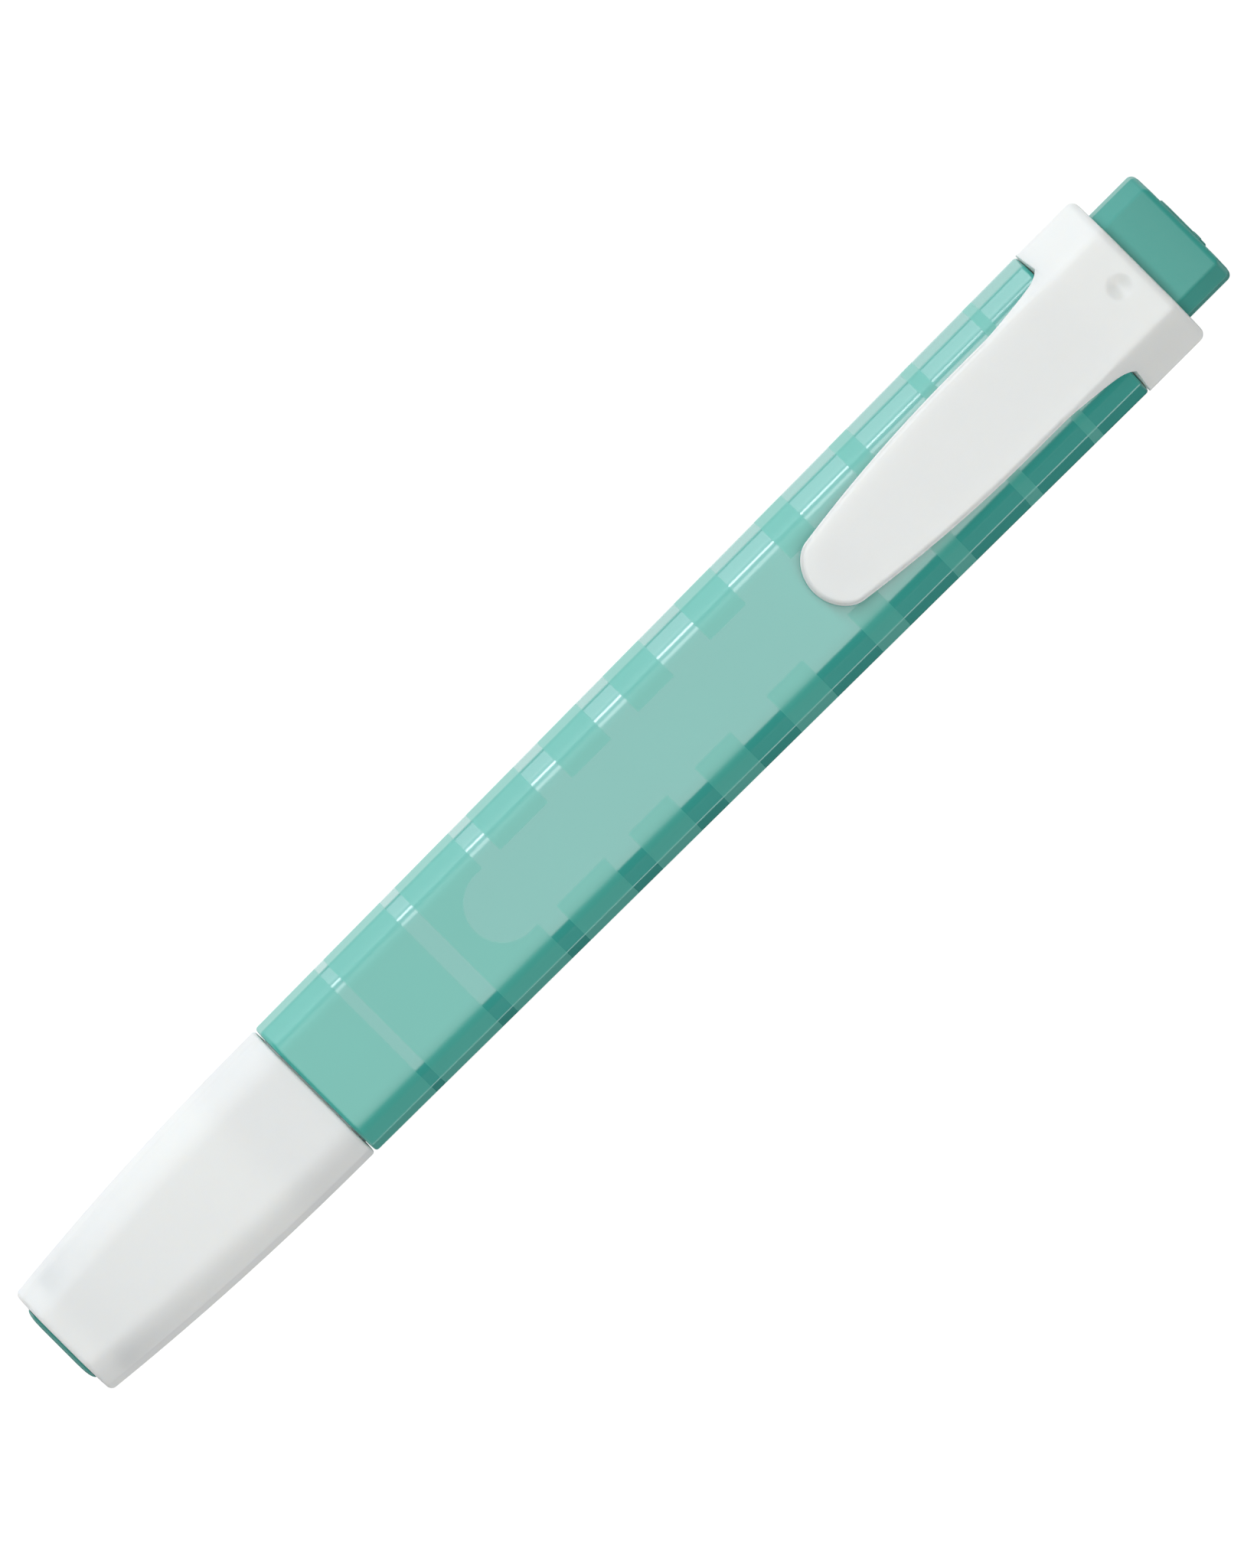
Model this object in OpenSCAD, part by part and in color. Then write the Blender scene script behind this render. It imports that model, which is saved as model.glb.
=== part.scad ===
// Flat pocket highlighter: a tapered barrel with a pull-off cap at one end and,
// at the other, a collar with a sprung pocket clip and a stub that the cap posts on.
// The pen lies along X on its back, cap to -X, clip on top.

/* [Overall] */
// Thickness of barrel, from the back face it lies on to the front face
body_h = 11; // [9:0.1:13.5]
// Width of the barrel at its front end, where the cap sits
front_w = 14.86; // [12.3:0.02:17.9]
// Width of the barrel at its rear end
rear_w = 16.38; // [15.9:0.02:19]
// Length of the barrel
barrel_len = 93.35; // [80:0.5:115]
// Wall of the barrel all round
wall = 1.2; // [1:0.05:1.35]

/* [Section] */
// Width of the long facet beside each broad face
facet_w = 1.8; // [1.3:0.1:2.2]
// Height of the long facet beside each broad face
facet_h = 1.9; // [1.4:0.1:2.3]
// How far each side leans out from its ridge to its middle, at the front
side_lean_front = 0.6; // [0.3:0.05:0.8]
// The same lean at the rear
side_lean_rear = 0.95; // [0.5:0.05:1.2]
// Radius of the ridge between a facet and its side
ridge_r = 0.8; // [0.3:0.1:1]
// Radius of the edge between a face and its facet
face_r = 2.4; // [1:0.1:2.6]
// Radius of the rounded middle of each side
side_r = 4; // [2:0.5:6]

/* [Cap] */
// Length of the cap, from nose to mouth
cap_len = 30.6; // [25.4:0.1:38]
// How much each side of the cap draws in from mouth to nose, across
nose_draw_w = 1.54; // [0.8:0.02:1.7]
// The same draw on the two broad faces
nose_draw_h = 1.3; // [0.7:0.05:1.4]
// Radius of the cap's nose edge
nose_r = 0.5; // [0.2:0.05:0.6]
// Radius of the cap's mouth edge and of the barrel's front edge
mouth_r = 0.3; // [0.15:0.05:0.35]
// Step from the barrel's surface down to the cap's
cap_step = 0.03; // [0:0.01:0.1]
// Gap between the closed cap's mouth and the barrel
cap_joint = 0.15; // [0.1:0.05:0.4]
// Thickness of the cap's closed nose
nose_wall = 2.5; // [2.2:0.1:3.5]

/* [Cap disc] */
// Margin of nose left all round the disc let into it
disc_margin = 1.46; // [1.1:0.02:1.8]
// How far the disc's dome stands out of the nose
disc_proud = 0.45; // [0.2:0.05:0.8]
// Depth of the disc's seat
disc_seat = 1; // [0.6:0.1:1.3]

/* [Writing end] */
// Length of the neck that the cap slides over
neck_len = 7; // [5.5:0.1:8.5]
// Running gap all round between the neck and the cap
cap_gap = 0.08; // [0.05:0.01:0.1]
// Height of the snap bead round the neck
bead_h = 0.06; // [0.03:0.01:0.06]
// Width of the snap bead
bead_w = 0.9; // [0.5:0.1:1.4]
// Step in from the neck to the sealing land at each side
land_step_w = 1.85; // [1.5:0.05:2]
// The same step on the two broad faces
land_step_h = 1.58; // [1.3:0.02:1.7]
// Length of that land
land_len = 3.4; // [2.5:0.1:4]
// Length of the tapered nose in front of the land
taper_len = 3.6; // [2.5:0.1:4.5]
// Length of the section's plug inside the barrel
insert_len = 9; // [7:0.5:12]
// Width of the nib
nib_w = 4.8; // [3.8:0.02:5.8]
// Thickness of the nib
nib_h = 3; // [2.4:0.1:3.2]
// How far the nib stands out of the section
nib_out = 5.2; // [4:0.1:6]
// Slope of the chisel edge across the nib, in degrees
nib_slant = 28; // [15:1:35]

/* [Sealing sleeve] */
// Wall of the sealing sleeve
sleeve_wall = 0.6; // [0.4:0.05:0.7]
// Running gap between the sleeve and the land
seal_gap = 0.06; // [0.03:0.01:0.1]

/* [Reservoir] */
// Free length behind the ink reservoir, up to the end plug
core_room = 3; // [1:0.5:10]
// Thickness of the film round the reservoir
film_t = 0.15; // [0.1:0.05:0.25]
// Length of nib buried in the reservoir
nib_bury = 4; // [2:0.5:8]

/* [Clip and collar] */
// Length of the collar along the pen
collar_len = 6.8; // [5.5:0.1:9]
// Width of the collar's raised top face
collar_top_w = 9.2; // [8:0.1:10]
// Radius of the edges beside the collar's raised top face
collar_edge_r = 1; // [0.3:0.1:1.2]
// Radius of the collar's rear edge
collar_r = 0.75; // [0.3:0.05:0.9]
// Length of the free clip blade
clip_len = 32.8; // [26:0.2:38]
// Thickness of the clip blade
clip_t = 1.6; // [1.2:0.1:1.9]
// Free height between the barrel's face and the blade
clip_rise = 0.9; // [0.7:0.1:1.2]
// Half width of the blade behind its round tip
clip_tip_half = 3.62; // [3:0.1:4]
// Half width of the blade along its middle
clip_mid_half = 4.9; // [4.2:0.1:5.2]
// Half width of the blade where it meets the collar
clip_root_half = 5.65; // [5.3:0.05:5.9]
// Gap between the grip nub under the tip and the barrel
nub_gap = 0.15; // [0.1:0.05:0.3]
// Radius of the finger dimple on the collar
dimple_r = 1.25; // [0.8:0.05:1.8]
// Depth of the finger dimple
dimple_depth = 0.3; // [0.15:0.05:0.45]

/* [End plug] */
// Length of the posting stub behind the collar
stub_len = 5.3; // [4:0.1:6.5]
// Radius of the stub's end edge
stub_r = 0.6; // [0.3:0.1:0.8]
// Height of the low pad on the stub's end
pad_h = 0.2; // [0.1:0.05:0.4]
// Height of the small pip on that pad
pip_h = 0.1; // [0.05:0.05:0.2]
// Width of the low pad
pad_w = 5.5; // [4:0.1:7]
// Length of the plug's shank inside the barrel
shank_len = 6; // [4:0.5:9]
// Gap all round between pieces pressed together
fit_gap = 0.05; // [0.02:0.01:0.08]
// Gap all round that lets the cap post on the stub
post_gap = 0.06; // [0.04:0.01:0.1]

/* [Hidden] */

cream_white = "#EEF1F0";
turquoise = "#8CCBC6";
deep_turquoise = "#66B4A8";
fibre_white = "#DFF3EE";
film_clear = "#CFE6E4";

eps = 0.01;
corner_steps = 3;
end_steps = 3;
loft_steps = 9;
clip_steps = 24;
draw_power = 2.1;

// Stations along X, from the disc's dome to the pad on the stub
collar_joint = 0.05;
total = disc_proud + cap_len + cap_joint + barrel_len + collar_joint + collar_len + stub_len + pad_h + pip_h;
x_nose = disc_proud - total / 2;
x_mouth = x_nose + cap_len;
x_front = x_mouth + cap_joint;
x_rear = x_front + barrel_len;
x_collar = x_rear + collar_joint;
x_back = x_collar + collar_len;
x_end = x_back + stub_len;
axis_z = body_h / 2;

// Half sizes of the sections
cav_w = front_w / 2 - wall;
cav_h = body_h / 2 - wall;
plug_w = cav_w - fit_gap;
plug_h = cav_h - fit_gap;
mouth_w = plug_w + post_gap;
mouth_h = plug_h + post_gap;
neck_w = mouth_w - cap_gap;
neck_h = mouth_h - cap_gap;
land_w = neck_w - land_step_w;
land_h = neck_h - land_step_h;
sleeve_in_w = land_w + seal_gap;
sleeve_in_h = land_h + seal_gap;
sleeve_out_w = sleeve_in_w + sleeve_wall;
sleeve_out_h = sleeve_in_h + sleeve_wall;
deep_w = sleeve_out_w + fit_gap;
deep_h = sleeve_out_h + fit_gap;

// Facets of the inner sections, a wall in from the outer ones
inner_facet_w = facet_w - 0.4;
inner_facet_h = facet_h - 0.4;
inner_lean = side_lean_front / 2;
inner_ridge_r = 0.4;
inner_face_r = 0.5;
small_facet = 1;
small_r = 0.3;

// Writing end
x_step = x_front - neck_len;
x_land = x_step - land_len;
x_tip = x_land - taper_len;
x_nib = x_tip - nib_out;
x_insert = x_front + insert_len;
core_gap = 0.3;
x_core = x_insert + core_gap;
nib_total = x_core + nib_bury - x_nib;
nib_gap = 0.03;
taper_w = (nib_w / 2 + land_w) / 2;
taper_h = (nib_h / 2 + land_h) / 2;
taper_edge = 0.3;
cap_floor = 0.4;
x_deep_end = x_step - cap_floor;
x_sleeve = x_nose + nose_wall + fit_gap;
x_bead = x_front - neck_len / 2;
vent_w = 0.7;
vent_wall = 0.35;
nib_edge = 0.35;
nib_bevel = 2.4;
disc_round = 1.1;
disc_w = front_w / 2 - cap_step - nose_draw_w - disc_margin;
disc_h = body_h / 2 - cap_step - nose_draw_h - disc_margin;

// Reservoir
film_gap = 0.02;
film_w = cav_w - fit_gap * 2;
film_h = cav_h - fit_gap * 2;
x_shank = x_rear - shank_len;
x_core_end = x_shank - core_room;

// Clip
clip_top = axis_z + body_h / 2 + clip_rise + clip_t;
collar_top = clip_top - axis_z;
collar_half = rear_w / 2 + 0.01;
collar_drop = collar_half - collar_top_w / 2;
collar_side_r = 1;
clip_joint = 0.06;
x_clip = x_collar - clip_joint;
tip_len = 3;
tip_steps = 8;
swell_len = 20;
flare_len = 6.8;
nub_len = 3.2;
nub_w = 4.4;
nub_drop = clip_rise - nub_gap;
x_nub = x_clip - clip_len + 3.4;
x_dimple = x_back - 2.5;
dimple_ball = (pow(dimple_r, 2) + pow(dimple_depth, 2)) / (2 * dimple_depth);

// End plug
pad_flat = 0.8;
pip_r = 0.5;
pip_y = -1.6;

// ---------------------------------------------------------------- outlines

function unit(v) = v / norm(v);

function mix(a, b, t) = a + (b - a) * t;

// Arc of radius r that rounds corner q between p and s, on a counter-clockwise outline
function corner(p, q, s, r) =
    let (u = unit(p - q), v = unit(s - q),
         half = acos(u * v) / 2,
         start = q + u * r / tan(half),
         centre = q + unit(u + v) * r / sin(half),
         from = atan2(start.y - centre.y, start.x - centre.x),
         turn = 180 - 2 * half)
    [for (k = [0 : corner_steps])
        centre + r * [cos(from + turn * k / corner_steps), sin(from + turn * k / corner_steps)]];

function rounded(pts, radii) =
    let (n = len(pts))
    [for (i = [0 : n - 1]) each corner(pts[(i + n - 1) % n], pts[i], pts[(i + 1) % n], radii[i])];

// How far a side's sharp middle stands out past its rounding of radius r
function side_extra(lean, low, r) = r * (1 / cos(atan(lean / low)) - 1);

// Faceted section: two broad faces, four facets and two sides that lean out to a rounded middle.
// The rounding leaves the section w wide each way.
function section(w, h, lean, fw, fh, rs, rr, rf) =
    let (ridge = w - lean, face = ridge - fw, low = h - fh,
         side = w + side_extra(lean + side_extra(lean, low, rs), low, rs))
    rounded(
        [[side, 0], [ridge, low], [face, h], [-face, h], [-ridge, low],
         [-side, 0], [-ridge, -low], [-face, -h], [face, -h], [ridge, -low]],
        [rs, rr, rf, rf, rr, rs, rr, rf, rf, rr]);

function outer_section(w, h, lean) =
    section(w, h, lean, facet_w, facet_h, side_r, ridge_r, face_r);

function inner_section(w, h) =
    section(w, h, inner_lean, inner_facet_w, inner_facet_h, side_r / 2, inner_ridge_r, inner_face_r);

function small_section(w, h) =
    rounded([[w, h - small_facet], [w - small_facet, h], [small_facet - w, h], [-w, h - small_facet],
             [-w, small_facet - h], [small_facet - w, -h], [w - small_facet, -h], [w, small_facet - h]],
            [for (i = [0 : 7]) small_r]);

// Collar: raised top face, one plane facet each side, and the barrel's own back
function collar_section(inset) =
    let (w = collar_half - inset, top = collar_top - inset, back = body_h / 2 - inset,
         top_half = collar_top_w / 2 - inset * 0.4,
         ridge = w - side_lean_rear, face = ridge - facet_w)
    rounded(
        [[w, collar_top - collar_drop], [top_half, top], [-top_half, top], [-w, collar_top - collar_drop],
         [-w, 0], [-ridge, facet_h - back], [-face, -back], [face, -back], [ridge, facet_h - back], [w, 0]],
        [collar_side_r, collar_edge_r, collar_edge_r, collar_side_r, collar_side_r,
         ridge_r, face_r, face_r, ridge_r, collar_side_r]);

// Quarter-round end edge of radius r in end_steps steps: how far along, and how far in
function edge_on(r, k) = r * (1 - cos(90 * k / end_steps));
function edge_in(r, k) = r * (1 - sin(90 * k / end_steps));

// ------------------------------------------------------------------ solids

// Solid through a list of [x, outline] stations that run toward +X
module loft(stations) {
    n = len(stations[0][1]);
    last = len(stations) - 1;
    points = [for (s = stations) for (p = s[1]) [s[0], p.x, p.y + axis_z]];
    sides = [for (i = [0 : last - 1]) for (j = [0 : n - 1])
        let (a = i * n + j, b = i * n + (j + 1) % n, c = b + n, d = a + n)
        each [[a, d, b], [b, d, c]]];
    ends = [[for (j = [0 : n - 1]) j], [for (j = [n - 1 : -1 : 0]) last * n + j]];
    polyhedron(points, concat(sides, ends));
}

// Straight solid of one outline from x0 to x1
module prism(x0, x1, outline) {
    translate([x0, 0, axis_z])
        rotate([90, 0, 90])
            linear_extrude(x1 - x0)
                polygon(outline);
}

// Flat plate of a plan outline between two heights
module plate(z0, z1, outline) {
    translate([0, 0, z0])
        linear_extrude(z1 - z0)
            polygon(outline);
}

// --------------------------------------------------------------------- cap

// Outline of the cap at distance d from its mouth, drawn in by inset
function cap_outline(d, inset) =
    let (t = pow(d / cap_len, draw_power),
         w = front_w / 2 - cap_step - nose_draw_w * t - inset,
         h = body_h / 2 - cap_step - nose_draw_h * t - inset)
    section(w, h, side_lean_front, facet_w, facet_h, side_r, ridge_r * 1.5, face_r * 1.35);

function cap_stations() =
    let (span = cap_len - nose_r - mouth_r)
    concat(
        [for (k = [0 : end_steps])
            let (on = edge_on(nose_r, k))
            [x_nose + on, cap_outline(cap_len - on, edge_in(nose_r, k))]],
        [for (k = [1 : loft_steps - 1])
            let (d = mouth_r + span * (1 - k / loft_steps))
            [x_mouth - d, cap_outline(d, 0)]],
        [for (k = [end_steps : -1 : 0])
            let (on = edge_on(mouth_r, k))
            [x_mouth - on, cap_outline(on, edge_in(mouth_r, k))]]);

// The outside is convex all over, so the hull round its stations is the same shape
module cap_shell() {
    color(cream_white)
        difference() {
            hull()
                loft(cap_stations());
            prism(x_deep_end - eps, x_mouth + 1, inner_section(mouth_w, mouth_h));
            prism(x_nose + nose_wall, x_deep_end, small_section(deep_w, deep_h));
            prism(x_bead - bead_w, x_bead + bead_w, inner_section(mouth_w + bead_h, mouth_h + bead_h));
            prism(x_nose - 1, x_nose + disc_seat, small_section(disc_w, disc_h));
        }
}

module cap_sleeve() {
    color(deep_turquoise)
        difference() {
            prism(x_sleeve, x_deep_end - fit_gap, small_section(sleeve_out_w, sleeve_out_h));
            prism(x_sleeve + sleeve_wall, x_deep_end + 1, small_section(sleeve_in_w, sleeve_in_h));
        }
}

module cap_disc() {
    base_w = disc_w - fit_gap;
    base_h = disc_h - fit_gap;
    color(turquoise)
        loft(concat(
            [for (k = [end_steps : -1 : 0])
                let (turn = 90 * k / end_steps, in = disc_round * (1 - cos(turn)))
                [x_nose - disc_proud * sin(turn), small_section(base_w - in, base_h - in)]],
            [[x_nose + disc_seat - fit_gap, small_section(base_w, base_h)]]));
}

// ------------------------------------------------------------------ barrel

function barrel_outline(x, inset) =
    let (t = (x - x_front) / barrel_len)
    outer_section(mix(front_w, rear_w, t) / 2 - inset, body_h / 2 - inset,
                  mix(side_lean_front, side_lean_rear, t));

module barrel() {
    color(turquoise)
        difference() {
            loft(concat(
                [for (k = [0 : end_steps])
                    let (x = x_front + edge_on(mouth_r, k))
                    [x, barrel_outline(x, edge_in(mouth_r, k))]],
                [for (k = [end_steps : -1 : 0])
                    let (x = x_rear - edge_on(mouth_r, k))
                    [x, barrel_outline(x, edge_in(mouth_r, k))]]));
            prism(x_front - 1, x_rear + 1, inner_section(cav_w, cav_h));
        }
}

// ------------------------------------------------------------- writing end

module front_section() {
    color(cream_white)
        difference() {
            union() {
                prism(x_front, x_insert, inner_section(plug_w, plug_h));
                prism(x_step, x_front + eps, inner_section(neck_w, neck_h));
                prism(x_bead - bead_w / 2, x_bead + bead_w / 2, inner_section(neck_w + bead_h, neck_h + bead_h));
                prism(x_land, x_step + eps, small_section(land_w, land_h));
                loft([
                    [x_tip, small_section(taper_w - taper_edge, taper_h - taper_edge)],
                    [x_tip + taper_edge, small_section(taper_w, taper_h)],
                    [x_land + eps, small_section(land_w, land_h)]]);
            }
            prism(x_tip - 1, x_insert + 1, small_section(nib_w / 2 + nib_gap, nib_h / 2 + nib_gap));
            prism(x_front + wall, x_insert + 1, inner_section(plug_w - wall, plug_h - wall));
            vent_slots();
        }
}

// Two air vents beside the nib, from the tapered nose back into the barrel
module vent_slots() {
    middle = land_w - vent_wall - vent_w / 2;
    for (side = [-1, 1])
        translate([x_tip, side * middle - vent_w / 2, axis_z - vent_w / 2])
            cube([x_front + wall + 1 - x_tip, vent_w, vent_w]);
}

module nib() {
    half_w = nib_w / 2;
    slope = nib_w * tan(nib_slant);
    back = x_nib + nib_total;
    color(deep_turquoise)
        intersection() {
            prism(x_nib, back, small_section(half_w, nib_h / 2));
            plate(0, body_h, [[x_nib, -half_w], [back, -half_w], [back, half_w], [x_nib + slope, half_w]]);
            translate([0, half_w, axis_z])
                rotate([90, 0, 0])
                    linear_extrude(nib_w)
                        polygon([[x_nib, -nib_edge], [x_nib + nib_bevel, -nib_h], [back, -nib_h],
                                 [back, nib_h], [x_nib + nib_bevel, nib_h], [x_nib, nib_edge]]);
        }
}

// --------------------------------------------------------------- reservoir

module reservoir_film() {
    color(film_clear)
        difference() {
            prism(x_core, x_core_end, inner_section(film_w, film_h));
            prism(x_core - 1, x_core_end + 1, inner_section(film_w - film_t, film_h - film_t));
        }
}

module reservoir_core() {
    loose = film_t + film_gap;
    color(fibre_white)
        difference() {
            prism(x_core, x_core_end, inner_section(film_w - loose, film_h - loose));
            prism(x_core - 1, x_core + nib_bury + nib_gap,
                  small_section(nib_w / 2 + nib_gap, nib_h / 2 + nib_gap));
        }
}

// --------------------------------------------------------- collar and clip

module clip_collar() {
    color(cream_white)
        difference() {
            loft(concat(
                [[x_collar, collar_section(0)]],
                [for (k = [end_steps : -1 : 0])
                    [x_back - edge_on(collar_r, k), collar_section(edge_in(collar_r, k))]]));
            prism(x_collar - 1, x_back + 1, inner_section(plug_w + fit_gap, plug_h + fit_gap));
            translate([x_dimple, 0, clip_top + dimple_ball - dimple_depth])
                sphere(dimple_ball, $fn = 64);
        }
}

// Half width of the blade at distance s from its tip: a round end, a slow swell, then a flare
function clip_half(s) =
    s < tip_len ? clip_tip_half * sqrt(1 - pow(1 - s / tip_len, 2))
    : let (swell = min(1, (s - tip_len) / swell_len), flare = max(0, s - clip_len + flare_len) / flare_len)
      mix(clip_tip_half, clip_mid_half, 1 - pow(1 - swell, 2))
      + (clip_root_half - clip_mid_half) * pow(flare, 1.3);

function clip_edge(side) =
    concat(
        [for (k = [1 : tip_steps])
            let (s = tip_len * (1 - cos(90 * k / tip_steps)))
            [x_clip - clip_len + s, side * clip_half(s)]],
        [for (k = [1 : clip_steps])
            let (s = tip_len + (clip_len - tip_len) * k / clip_steps)
            [x_clip - clip_len + s, side * clip_half(s)]]);

module clip_blade() {
    lower = clip_edge(-1);
    upper = clip_edge(1);
    tip = [[x_clip - clip_len, 0]];
    color(cream_white)
        union() {
            plate(clip_top - clip_t, clip_top,
                  concat(tip, lower, [for (k = [len(upper) - 1 : -1 : 0]) upper[k]]));
            grip_nub();
        }
}

// Rounded bar across the underside of the tip that presses on what the clip holds
module grip_nub() {
    radius = (pow(nub_len / 2, 2) + pow(nub_drop, 2)) / (2 * nub_drop);
    intersection() {
        translate([x_nub, nub_w / 2, clip_top - clip_t - nub_drop + radius])
            rotate([90, 0, 0])
                cylinder(h = nub_w, r = radius, $fn = 96);
        plate(clip_top - clip_t - nub_drop, clip_top - clip_t / 2,
              [[x_nub - nub_len / 2, -nub_w / 2], [x_nub + nub_len / 2, -nub_w / 2],
               [x_nub + nub_len / 2, nub_w / 2], [x_nub - nub_len / 2, nub_w / 2]]);
    }
}

// ---------------------------------------------------------------- end plug

module end_plug() {
    color(deep_turquoise)
        difference() {
            union() {
                loft(concat(
                    [[x_shank, inner_section(plug_w, plug_h)]],
                    [for (k = [end_steps : -1 : 0])
                        let (in = edge_in(stub_r, k))
                        [x_end - edge_on(stub_r, k), inner_section(plug_w - in, plug_h - in)]]));
                prism(x_end - eps, x_end + pad_h, small_section(pad_w / 2, pad_w / 2 * pad_flat));
                translate([x_end, pip_y, axis_z])
                    rotate([0, 90, 0])
                        cylinder(h = pad_h + pip_h, r = pip_r, $fn = 48);
            }
            prism(x_shank - 1, x_end - wall, inner_section(plug_w - wall, plug_h - wall));
        }
}

cap_shell();
cap_sleeve();
cap_disc();
barrel();
front_section();
nib();
reservoir_core();
reservoir_film();
clip_collar();
clip_blade();
end_plug();
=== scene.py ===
"""Looks of a flat pocket highlighter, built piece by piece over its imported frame.

The pen lies along X on its broad back face, cap toward -X and clip on top. Sizes are in millimetres and
become metres only where a mesh is made. Stations along the pen come from the frame's own boxes.
"""

import logging
import math
from dataclasses import dataclass, field
from enum import Enum
from typing import Any, Sequence

import bmesh
import bpy
import numpy as np
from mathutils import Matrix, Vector


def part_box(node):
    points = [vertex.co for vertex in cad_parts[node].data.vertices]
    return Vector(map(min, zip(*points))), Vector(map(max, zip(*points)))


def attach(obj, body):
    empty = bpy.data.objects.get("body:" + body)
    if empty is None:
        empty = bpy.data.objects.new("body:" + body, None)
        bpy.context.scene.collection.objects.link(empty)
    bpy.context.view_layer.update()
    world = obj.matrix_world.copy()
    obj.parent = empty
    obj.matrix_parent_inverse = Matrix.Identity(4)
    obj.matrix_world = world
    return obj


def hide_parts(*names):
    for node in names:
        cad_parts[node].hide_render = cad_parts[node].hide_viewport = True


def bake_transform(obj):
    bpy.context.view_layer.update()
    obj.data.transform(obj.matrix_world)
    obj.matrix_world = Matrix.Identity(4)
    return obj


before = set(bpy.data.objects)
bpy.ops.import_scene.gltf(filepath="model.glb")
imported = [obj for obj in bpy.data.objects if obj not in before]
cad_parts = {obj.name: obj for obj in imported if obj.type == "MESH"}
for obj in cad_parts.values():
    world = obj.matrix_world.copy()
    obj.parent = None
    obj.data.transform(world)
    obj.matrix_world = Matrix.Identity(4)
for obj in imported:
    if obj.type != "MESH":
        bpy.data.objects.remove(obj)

LOG = logging.getLogger("highlighter")
MATHS = "ShaderNodeMath"
MM = 0.001
# chords in a corner's arc, and the points that a rounded corner comes to
ARC_STEPS = 8
CORNER = ARC_STEPS + 3
# the farthest that a holding point stands off its arc, in millimetres
HOLD = 0.12
# how much smaller than the barrel the cap is on each side, so that it never stands proud
CAP_SHY = 0.03
# edges that meet more steeply than this stay sharp
SHARP = math.radians(40.0)
# what a polyolefin and a lacquer over it have in common, and the height of a mould's grain
PLASTIC_IOR = 1.49
GRAIN_HEIGHT = 0.02


class Ends(Enum):
    """Which end rings of a loft are closed, or whether its last ring joins its first."""

    OPEN = "open"
    FIRST = "first"
    LAST = "last"
    BOTH = "both"
    JOINED = "joined"


class Side(Enum):
    """The two sides of the pen, as signs along Y."""

    LEFT = 1
    RIGHT = -1


# ------------------------------------------------------------------ outlines and lofts


def rounded(corners: Sequence[tuple[float, float]], radii: Sequence[float],
            steps: int = ARC_STEPS) -> np.ndarray:
    """Rounds each corner of a counter-clockwise outline, with a holding point on either side of each arc.

    Args:
        corners: The sharp corners. One on a straight line only marks a place.
        radii: One radius for each corner.
        steps: Chords in each arc.

    Returns:
        The rounded outline's points, the same number for every corner.
    """
    points = []
    count = len(corners)
    for i, radius in enumerate(radii):
        before, here, after = (np.array(corners[(i + k) % count], float) for k in (-1, 0, 1))
        back = (before - here) / np.linalg.norm(before - here)
        on = (after - here) / np.linalg.norm(after - here)
        half = math.acos(float(np.clip(back @ on, -1, 1))) / 2
        if half > math.pi / 2 - 0.01:
            spread = radius * np.linspace(-1, 1, steps + 3)[:, None]
            points.extend(here + spread * on)
            continue
        middle = (back + on) / np.linalg.norm(back + on)
        centre = here + middle * radius / math.sin(half)
        reach = radius / math.tan(half)
        start = here + back * reach - centre
        first = math.atan2(start[1], start[0])
        turn = math.pi - 2 * half
        points.append(here + back * (reach + min(HOLD, radius)))
        for k in range(steps + 1):
            angle = first + turn * k / steps
            points.append(centre + radius * np.array([math.cos(angle), math.sin(angle)]))
        points.append(here + on * (reach + min(HOLD, radius)))
    return np.array(points)


@dataclass(frozen=True)
class Section:
    """A faceted section: two broad faces, four facets and two sides that lean out to their middle.

    Attributes:
        lean: How far a side leans out from its ridge to its middle.
        facet_w: Width of a facet across the pen.
        facet_h: Height of a facet.
        side_r: Radius of the middle of each side.
        ridge_r: Radius between facet and side.
        face_r: Radius between face and facet.
    """

    lean: float = 0.6
    facet_w: float = 1.8
    facet_h: float = 1.9
    side_r: float = 4.0
    ridge_r: float = 0.8
    face_r: float = 2.4

    def ring(self, w: float, h: float) -> np.ndarray:
        """Makes the outline of a given size.

        Args:
            w: Half width.
            h: Half height.

        Returns:
            The outline's points, counter-clockwise from the middle of the left side.
        """
        low = h - self.facet_h
        ridge = w - self.lean
        face = ridge - self.facet_w

        def extra(reach: float) -> float:
            """Tells how far a side's sharp middle stands out past its rounding."""
            return self.side_r * (1 / math.cos(math.atan(reach / low)) - 1)

        side = w + extra(self.lean + extra(self.lean))
        corners = [(side, 0), (ridge, low), (face, h), (-face, h), (-ridge, low),
                   (-side, 0), (-ridge, -low), (-face, -h), (face, -h), (ridge, -low)]
        radii = [self.side_r, self.ridge_r, self.face_r, self.face_r, self.ridge_r] * 2
        return rounded(corners, radii)


BORE = Section(lean=0.3, facet_w=1.4, facet_h=1.5, side_r=2.0, ridge_r=0.4, face_r=0.5)


def block(w: float, h: float, facet: float = 1.0, radius: float = 0.3) -> np.ndarray:
    """Makes a rectangle with cut and rounded corners, matched point for point to a Section.

    Args:
        w: Half width.
        h: Half height.
        facet: Leg of each cut corner.
        radius: Radius of the edges that the cut leaves.

    Returns:
        The outline's points, counter-clockwise.
    """
    corners = [(w, 0), (w, h - facet), (w - facet, h), (facet - w, h), (-w, h - facet),
               (-w, 0), (-w, facet - h), (facet - w, -h), (w - facet, -h), (w, facet - h)]
    return rounded(corners, [radius] * len(corners))


def grown(size: tuple[float, float], by: float) -> tuple[float, float]:
    """Grows a pair of half sizes by the same amount, or shrinks it by a negative one."""
    return size[0] + by, size[1] + by


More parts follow.
